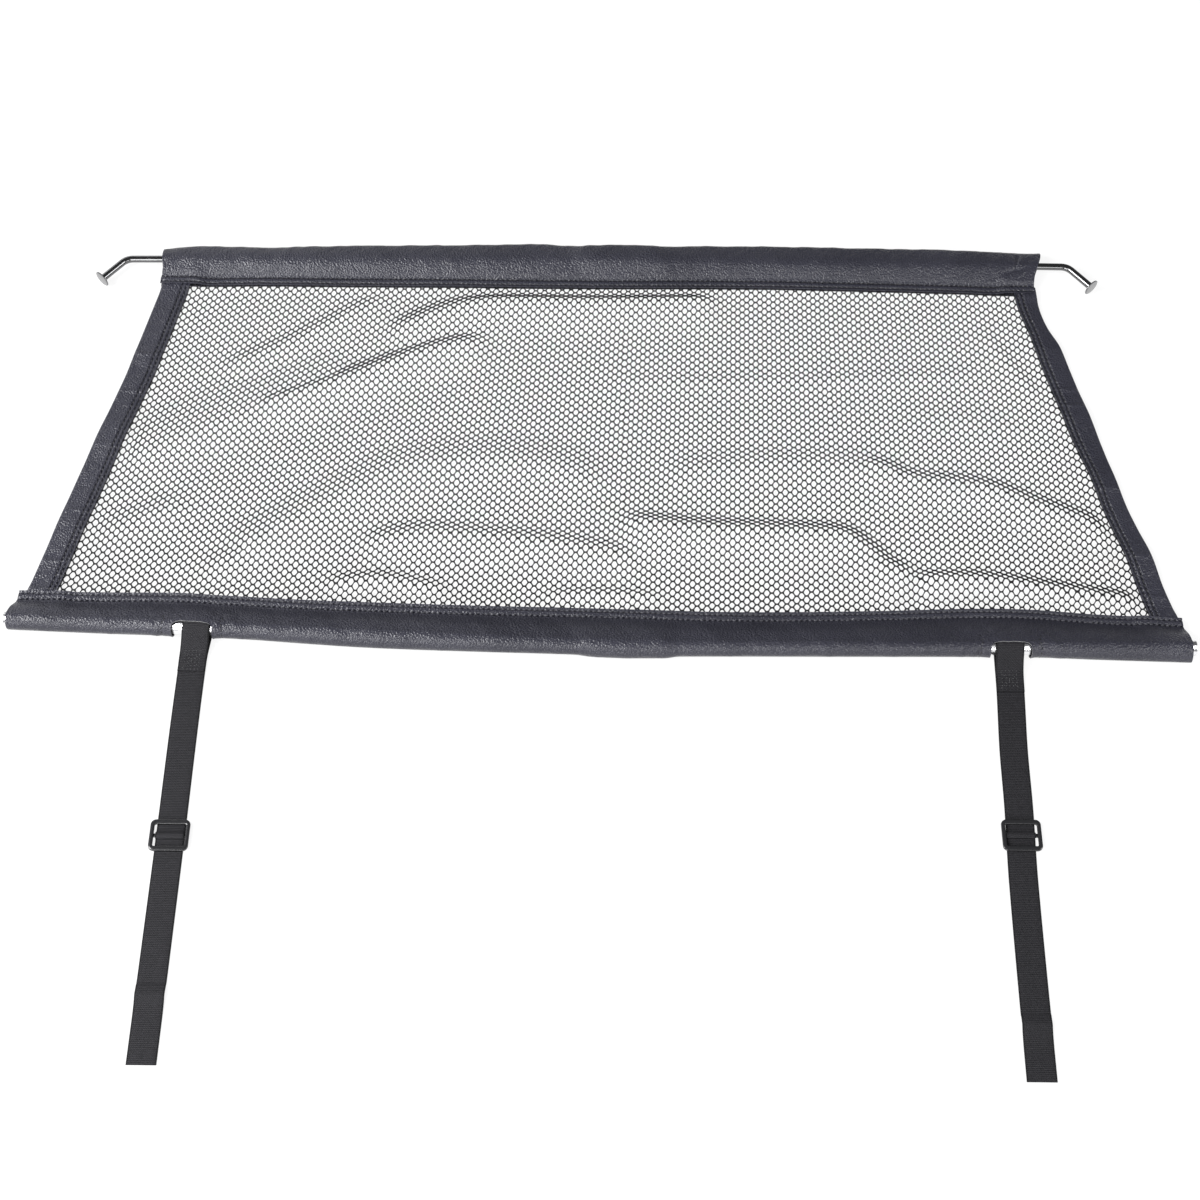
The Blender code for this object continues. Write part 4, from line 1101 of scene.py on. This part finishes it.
def webbing_section():
    """Points round the webbing: place across it, and height as a share of half its thickness."""
    half = STRAP_WIDTH / 2
    return np.array([
        (-half, 0.0), (-half + 0.15, 0.7), (-half + 0.8, 1.0), (-half / 2, 0.9), (0.0, 0.92), (half / 2, 0.9),
        (half - 0.8, 1.0), (half - 0.15, 0.7), (half, 0.0), (half - 0.15, -0.7), (half - 0.8, -1.0),
        (0.0, -0.92), (-half + 0.8, -1.0), (-half + 0.15, -0.7)])


def strap_mesh(name, points, across, run):
    """Webbing through rings of points, closed at both ends; its map is in millimetres."""
    rings, sides = points.shape[:2]
    last = (rings - 1) * sides
    faces = ring_quads(rings, sides)[:, ::-1].tolist() + STRAP_CAP
    faces += [[last + corner for corner in reversed(face)] for face in STRAP_CAP]
    mesh = bpy.data.meshes.new(name)
    mesh.from_pydata(((points.reshape(-1, 3) + SHIFT) * MM).tolist(), [], faces)
    weave = mesh.uv_layers.new(name="Weave")
    corners = np.zeros(len(mesh.loops), dtype=np.int32)
    mesh.loops.foreach_get("vertex_index", corners)
    places = np.stack((np.tile(across, rings), np.repeat(run, sides)), axis=1)
    weave.data.foreach_set("uv", places[corners].astype(np.float32).ravel())
    mesh.shade_smooth()
    mesh.set_sharp_from_angle(angle=math.radians(60.0))
    mesh.materials.append(BLACK_WEBBING)
    obj = placed(name, mesh)
    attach(obj, "root")
    return obj


def make_strap(side):
    """One strap, swept along its path and cut square at both ends, and the stitches of its lap."""
    line, tube_x, crease_y = STRAPS[side]
    tube_y = float(line_at(TUBE_LINE, tube_x))
    slope = float(line_at(TUBE_LINE, tube_x + 10.0) - line_at(TUBE_LINE, tube_x - 10.0)) / 20.0
    end_y = min(row[0] for row in line)
    control = np.array([strap_path(tube_y, GLIDES[side][1], crease_y, end_y)])
    path, run = even_steps(smooth_rows(control, 8)[0], 1.6)
    path[:, 1] = np.maximum(path[:, 1], WEBBING / 2)
    normals = side_normals(path[None])[0]
    across, height = webbing_section().T
    offset = height * (WEBBING / 2)
    turn = slope * blend((path[:, :1] - tube_y + 64.0) / 34.0)      # the loop turns with the tube
    x = value_at(line, path[:, :1]) + across
    y = path[:, :1] + turn * across + normals[:, :1] * offset
    z = path[:, 1:] + normals[:, 1:] * offset
    points = np.stack((x, y, z), axis=2)
    name = "strap_" + side
    strap = strap_mesh(name + "_webbing", points, across, run)
    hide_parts(name)
    stitches = make_stitches(name + "_stitches", lap_stitches(points[:, STRAP_TOP], tube_y), STRAP_THREAD,
                             radius=0.45, length=1.7, gap=2.0)


def lap_stitches(middle, tube_y):
    """Rows and a cross sewn through both layers of the lap, near its end, by the middle of its upper side."""
    start, end = tube_y - LAP + 2.0, tube_y - LAP + 22.0
    half = STRAP_WIDTH / 2 - 3.5
    upper = middle[middle[:, 2] > WEBBING + GAP]
    upper = upper[np.argsort(upper[:, 1])]

    def row(x0, y0, x1, y1):
        y = np.linspace(y0, y1, 13)
        x, z = (np.interp(y, upper[:, 1], upper[:, k]) for k in (0, 2))
        return np.stack((x + np.linspace(x0, x1, 13), y, z + 0.05), axis=1)

    rows = [row(-half, y, half, y) for y in np.linspace(start, end, 6)]
    return rows + [row(-half, start, half, end), row(-half, end, half, start)]


def rounded_rectangle(half_x, half_y, radius):
    """Points round a rectangle with round corners, from the right-hand side anticlockwise."""
    steps = 8
    points = []
    for quarter, (sx, sy) in enumerate(((1, 1), (-1, 1), (-1, -1), (1, -1))):
        for k in range(steps + 1):
            angle = math.pi / 2 * (quarter + k / steps)
            points.append((sx * (half_x - radius) + radius * math.cos(angle),
                           sy * (half_y - radius) + radius * math.sin(angle)))
    return np.array(points)


def make_triglide(side):
    """Three-bar slide: a frame with rounded rails, and a thinner middle bar."""
    width, length, thickness = GLIDE_SIZE
    x0, y0 = GLIDES[side]
    outer = rounded_rectangle(width / 2, length / 2, 5.5)
    inner = rounded_rectangle(width / 2 - GLIDE_SIDE, length / 2 - GLIDE_BAR, 1.6)
    # a rail's section: share of the way from outer to inner outline, and drop from its top
    section = ((0.0, 0.35), (0.03, 0.12), (0.12, 0.0), (0.88, 0.0), (0.97, 0.12), (1.0, 0.35),
               (1.0, 0.75), (0.9, 1.0), (0.1, 1.0), (0.0, 0.75))
    rings = []
    for share, drop in section:
        ring = outer + (inner - outer) * share + (x0, y0)
        rings.append(np.column_stack((ring, np.full(len(ring), GLIDE_HEIGHT + thickness * (1.0 - drop)))))
    frame_quads = ring_quads(len(section), len(outer), closed=True)
    half, top = GLIDE_MIDDLE_BAR / 2, GLIDE_MIDDLE_THICKNESS
    bar = ((-half, 0.3), (-half, top - 0.6), (-half + 0.6, top), (half - 0.6, top), (half, top - 0.6),
           (half, 0.3), (half - 0.3, 0.0), (-half + 0.3, 0.0))
    reach = width / 2 - GLIDE_SIDE + 1.0
    bar_quads = ring_quads(4, len(bar)) + len(section) * len(outer)
    for x, spread in ((-reach, 0.0), (-reach, 1.0), (reach, 1.0), (reach, 0.0)):
        rings.append(np.array([(x0 + x, y0 + y * spread, GLIDE_HEIGHT + z * spread) for y, z in bar]))
    slide = mesh_object("triglide_" + side + "_moulded", np.concatenate(rings),
                        np.concatenate((frame_quads, bar_quads[:, ::-1])), PLASTIC, sharp=50.0)
    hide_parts("triglide_" + side)


# ---------------------------------------------------------------- rod, tube and their ends

def make_disc(name, middle, arm):
    """The thin round head on an arm of the rod, with a brighter face."""
    half = DISC_THICKNESS / 2
    profile = [(0.0, 0.0), (0.0, ROD_RADIUS + 0.6), (0.35, ROD_RADIUS + 1.6), (0.9, DISC_RADIUS - 1.0),
               (1.15, DISC_RADIUS - 0.25), (1.5, DISC_RADIUS), (1.95, DISC_RADIUS - 0.15),
               (2.3, DISC_RADIUS - 0.8), (2.5, DISC_RADIUS - 2.5), (2.5, 0.0)]
    disc = revolve("disc_" + name + "_head", middle - arm * half, middle + arm, profile, DARK_METAL, 56)
    disc.data.materials.append(DISC_METAL)
    for face in disc.data.polygons:
        if face.normal.dot(Vector(arm)) > 0.95:
            face.material_index = 1
    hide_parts("disc_" + name)


def make_rod_half(side):
    """Half of the top rod with its bent arm, and the disc on its end."""
    name = "left" if side < 0 else "right"
    joint = np.array([*ROD_LINE[1], ROD_HEIGHT])
    corner = np.array([*(ROD_LINE[0] if side < 0 else ROD_LINE[2]), ROD_HEIGHT])
    arm = np.array([side * math.cos(ROD_BEND_ANGLE), -math.sin(ROD_BEND_ANGLE), 0.0])
    run = unit(corner - joint)
    setback = ROD_BEND_RADIUS * math.tan(ROD_BEND_ANGLE / 2)
    a, b = corner - run * setback, corner + arm * setback
    centres = [joint + run * 0.5, joint + run * 60.0]
    centres += [a * (1 - t) ** 2 + corner * 2 * t * (1 - t) + b * t * t for t in np.linspace(0.0, 1.0, 17)]
    centres.append(corner + arm * (ROD_ARM - DISC_THICKNESS / 2 - 0.05))
    centres = np.array(centres)
    up = np.array([0.0, 0.0, 1.0])
    across = np.cross(up, unit(np.gradient(centres, axis=0)))
    sides = 32
    cosines, sines = circle(sides)
    rings = (centres[:, None] + across[:, None] * (cosines * ROD_RADIUS)[:, None]
             + up * (sines * ROD_RADIUS)[:, None])
    ends = np.repeat(centres[[0, -1]][:, None], sides, axis=1)
    rings = np.concatenate((ends[:1], rings, ends[1:]))
    quads = ring_quads(len(rings), sides)
    rod = mesh_object("rod_" + name, rings.reshape(-1, 3), quads, DARK_METAL, sharp=40.0)
    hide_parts("top_rod_" + name)
    make_disc(name, corner + arm * ROD_ARM, arm)


def make_tube_half(side):
    """Half of the bottom tube, open at its outer end, with the rims eased."""
    name = "left" if side < 0 else "right"
    start_x = TUBE_LINE[1][0] + side * 0.5
    start = (start_x, float(line_at(TUBE_LINE, start_x)), TUBE_HEIGHT)
    stop = (*(TUBE_LINE[0] if side < 0 else TUBE_LINE[2]), TUBE_HEIGHT)
    length = math.dist(start, stop)
    wall = (TUBE_RADIUS + TUBE_BORE) / 2
    profile = [(0.0, TUBE_BORE), (0.0, TUBE_RADIUS), (length - 0.35, TUBE_RADIUS),
               (length - 0.08, TUBE_RADIUS - 0.12), (length, wall + 0.2), (length, wall - 0.2),
               (length - 0.08, TUBE_BORE + 0.1), (length - 0.3, TUBE_BORE)]
    tube = revolve("tube_" + name, start, stop, profile, BRIGHT_METAL, 64, closed=True)
    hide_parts("bottom_tube_" + name)


def finish_joiners():
    """The two ferrules inside the sleeves keep their solids and get a better finish."""
    for name, material in (("top_rod_joiner", DARK_METAL), ("tube_joiner", BRIGHT_METAL)):
        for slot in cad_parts[name].material_slots:
            slot.material = material


# ---------------------------------------------------------------- floor, light and camera

def make_stage():
    """Floor, a little below the part."""
    reach, drop = 9.0, 0.0001
    mesh = bpy.data.meshes.new("floor")
    corners = [(x, y, -drop) for x, y in ((-reach, -reach), (reach, -reach), (reach, reach), (-reach, reach))]
    mesh.from_pydata(corners, [], [(0, 1, 2, 3)])
    mesh.materials.append(floor_finish())
    placed("floor", mesh)


def area_light(name, place, size, power):
    """Rectangular lamp at a place in metres, aimed at the part."""
    light = bpy.data.lights.new(name, "AREA")
    light.shape = "RECTANGLE"
    light.size, light.size_y = size
    light.energy = power
    lamp = placed(name, light)
    lamp.location = place
    lamp.rotation_euler = (Vector(LIT_PLACE) - Vector(place)).to_track_quat("-Z", "Y").to_euler()


def light_room():
    """Soft studio light, a key at the left and weaker boxes all round, in a room that looks white."""
    world = bpy.data.worlds.new("studio")
    world.use_nodes = True
    tree = world.node_tree
    backdrop = tree.nodes["Background"]
    backdrop.inputs["Color"].default_value = (0.97, 0.98, 1.0, 1.0)
    seen = node(tree, "ShaderNodeLightPath").outputs["Is Camera Ray"]
    tree.links.new(in_range(tree, seen, ROOM_LIGHT, 1.0), backdrop.inputs["Strength"])
    bpy.context.scene.world = world
    for light in LIGHTS:
        area_light(*light)
    bpy.context.scene.view_settings.view_transform = "Standard"


def place_camera():
    """Camera at the photograph's angle: 60 degrees above the floor, from in front."""
    target = (np.array([0.0, 62.0, 0.0]) + SHIFT) * MM
    distance, elevation, yaw = 2.0919, math.radians(60.0), math.radians(0.626)
    level = math.cos(elevation)
    back = np.array([math.sin(yaw) * level, -math.cos(yaw) * level, math.sin(elevation)])
    data = bpy.data.cameras.new("camera")
    data.lens, data.sensor_width = 60.0, 36.0
    camera = placed("camera", data)
    camera.location = target + back * distance
    camera.rotation_euler = (math.pi / 2 - elevation, 0.0, yaw)
    bpy.context.scene.camera = camera


place_camera()
make_stage()
light_room()
make_net()
make_top_sleeve()
make_bottom_sleeve()
make_binding(-1, LEFT_BINDING, LEFT_WAVES, LEFT_CREASES)
make_binding(1, RIGHT_BINDING, RIGHT_WAVES, RIGHT_CREASES)
for strap_side in STRAPS:
    make_strap(strap_side)
for glide_side in GLIDES:
    make_triglide(glide_side)
for half in (-1, 1):
    make_rod_half(half)
    make_tube_half(half)
finish_joiners()
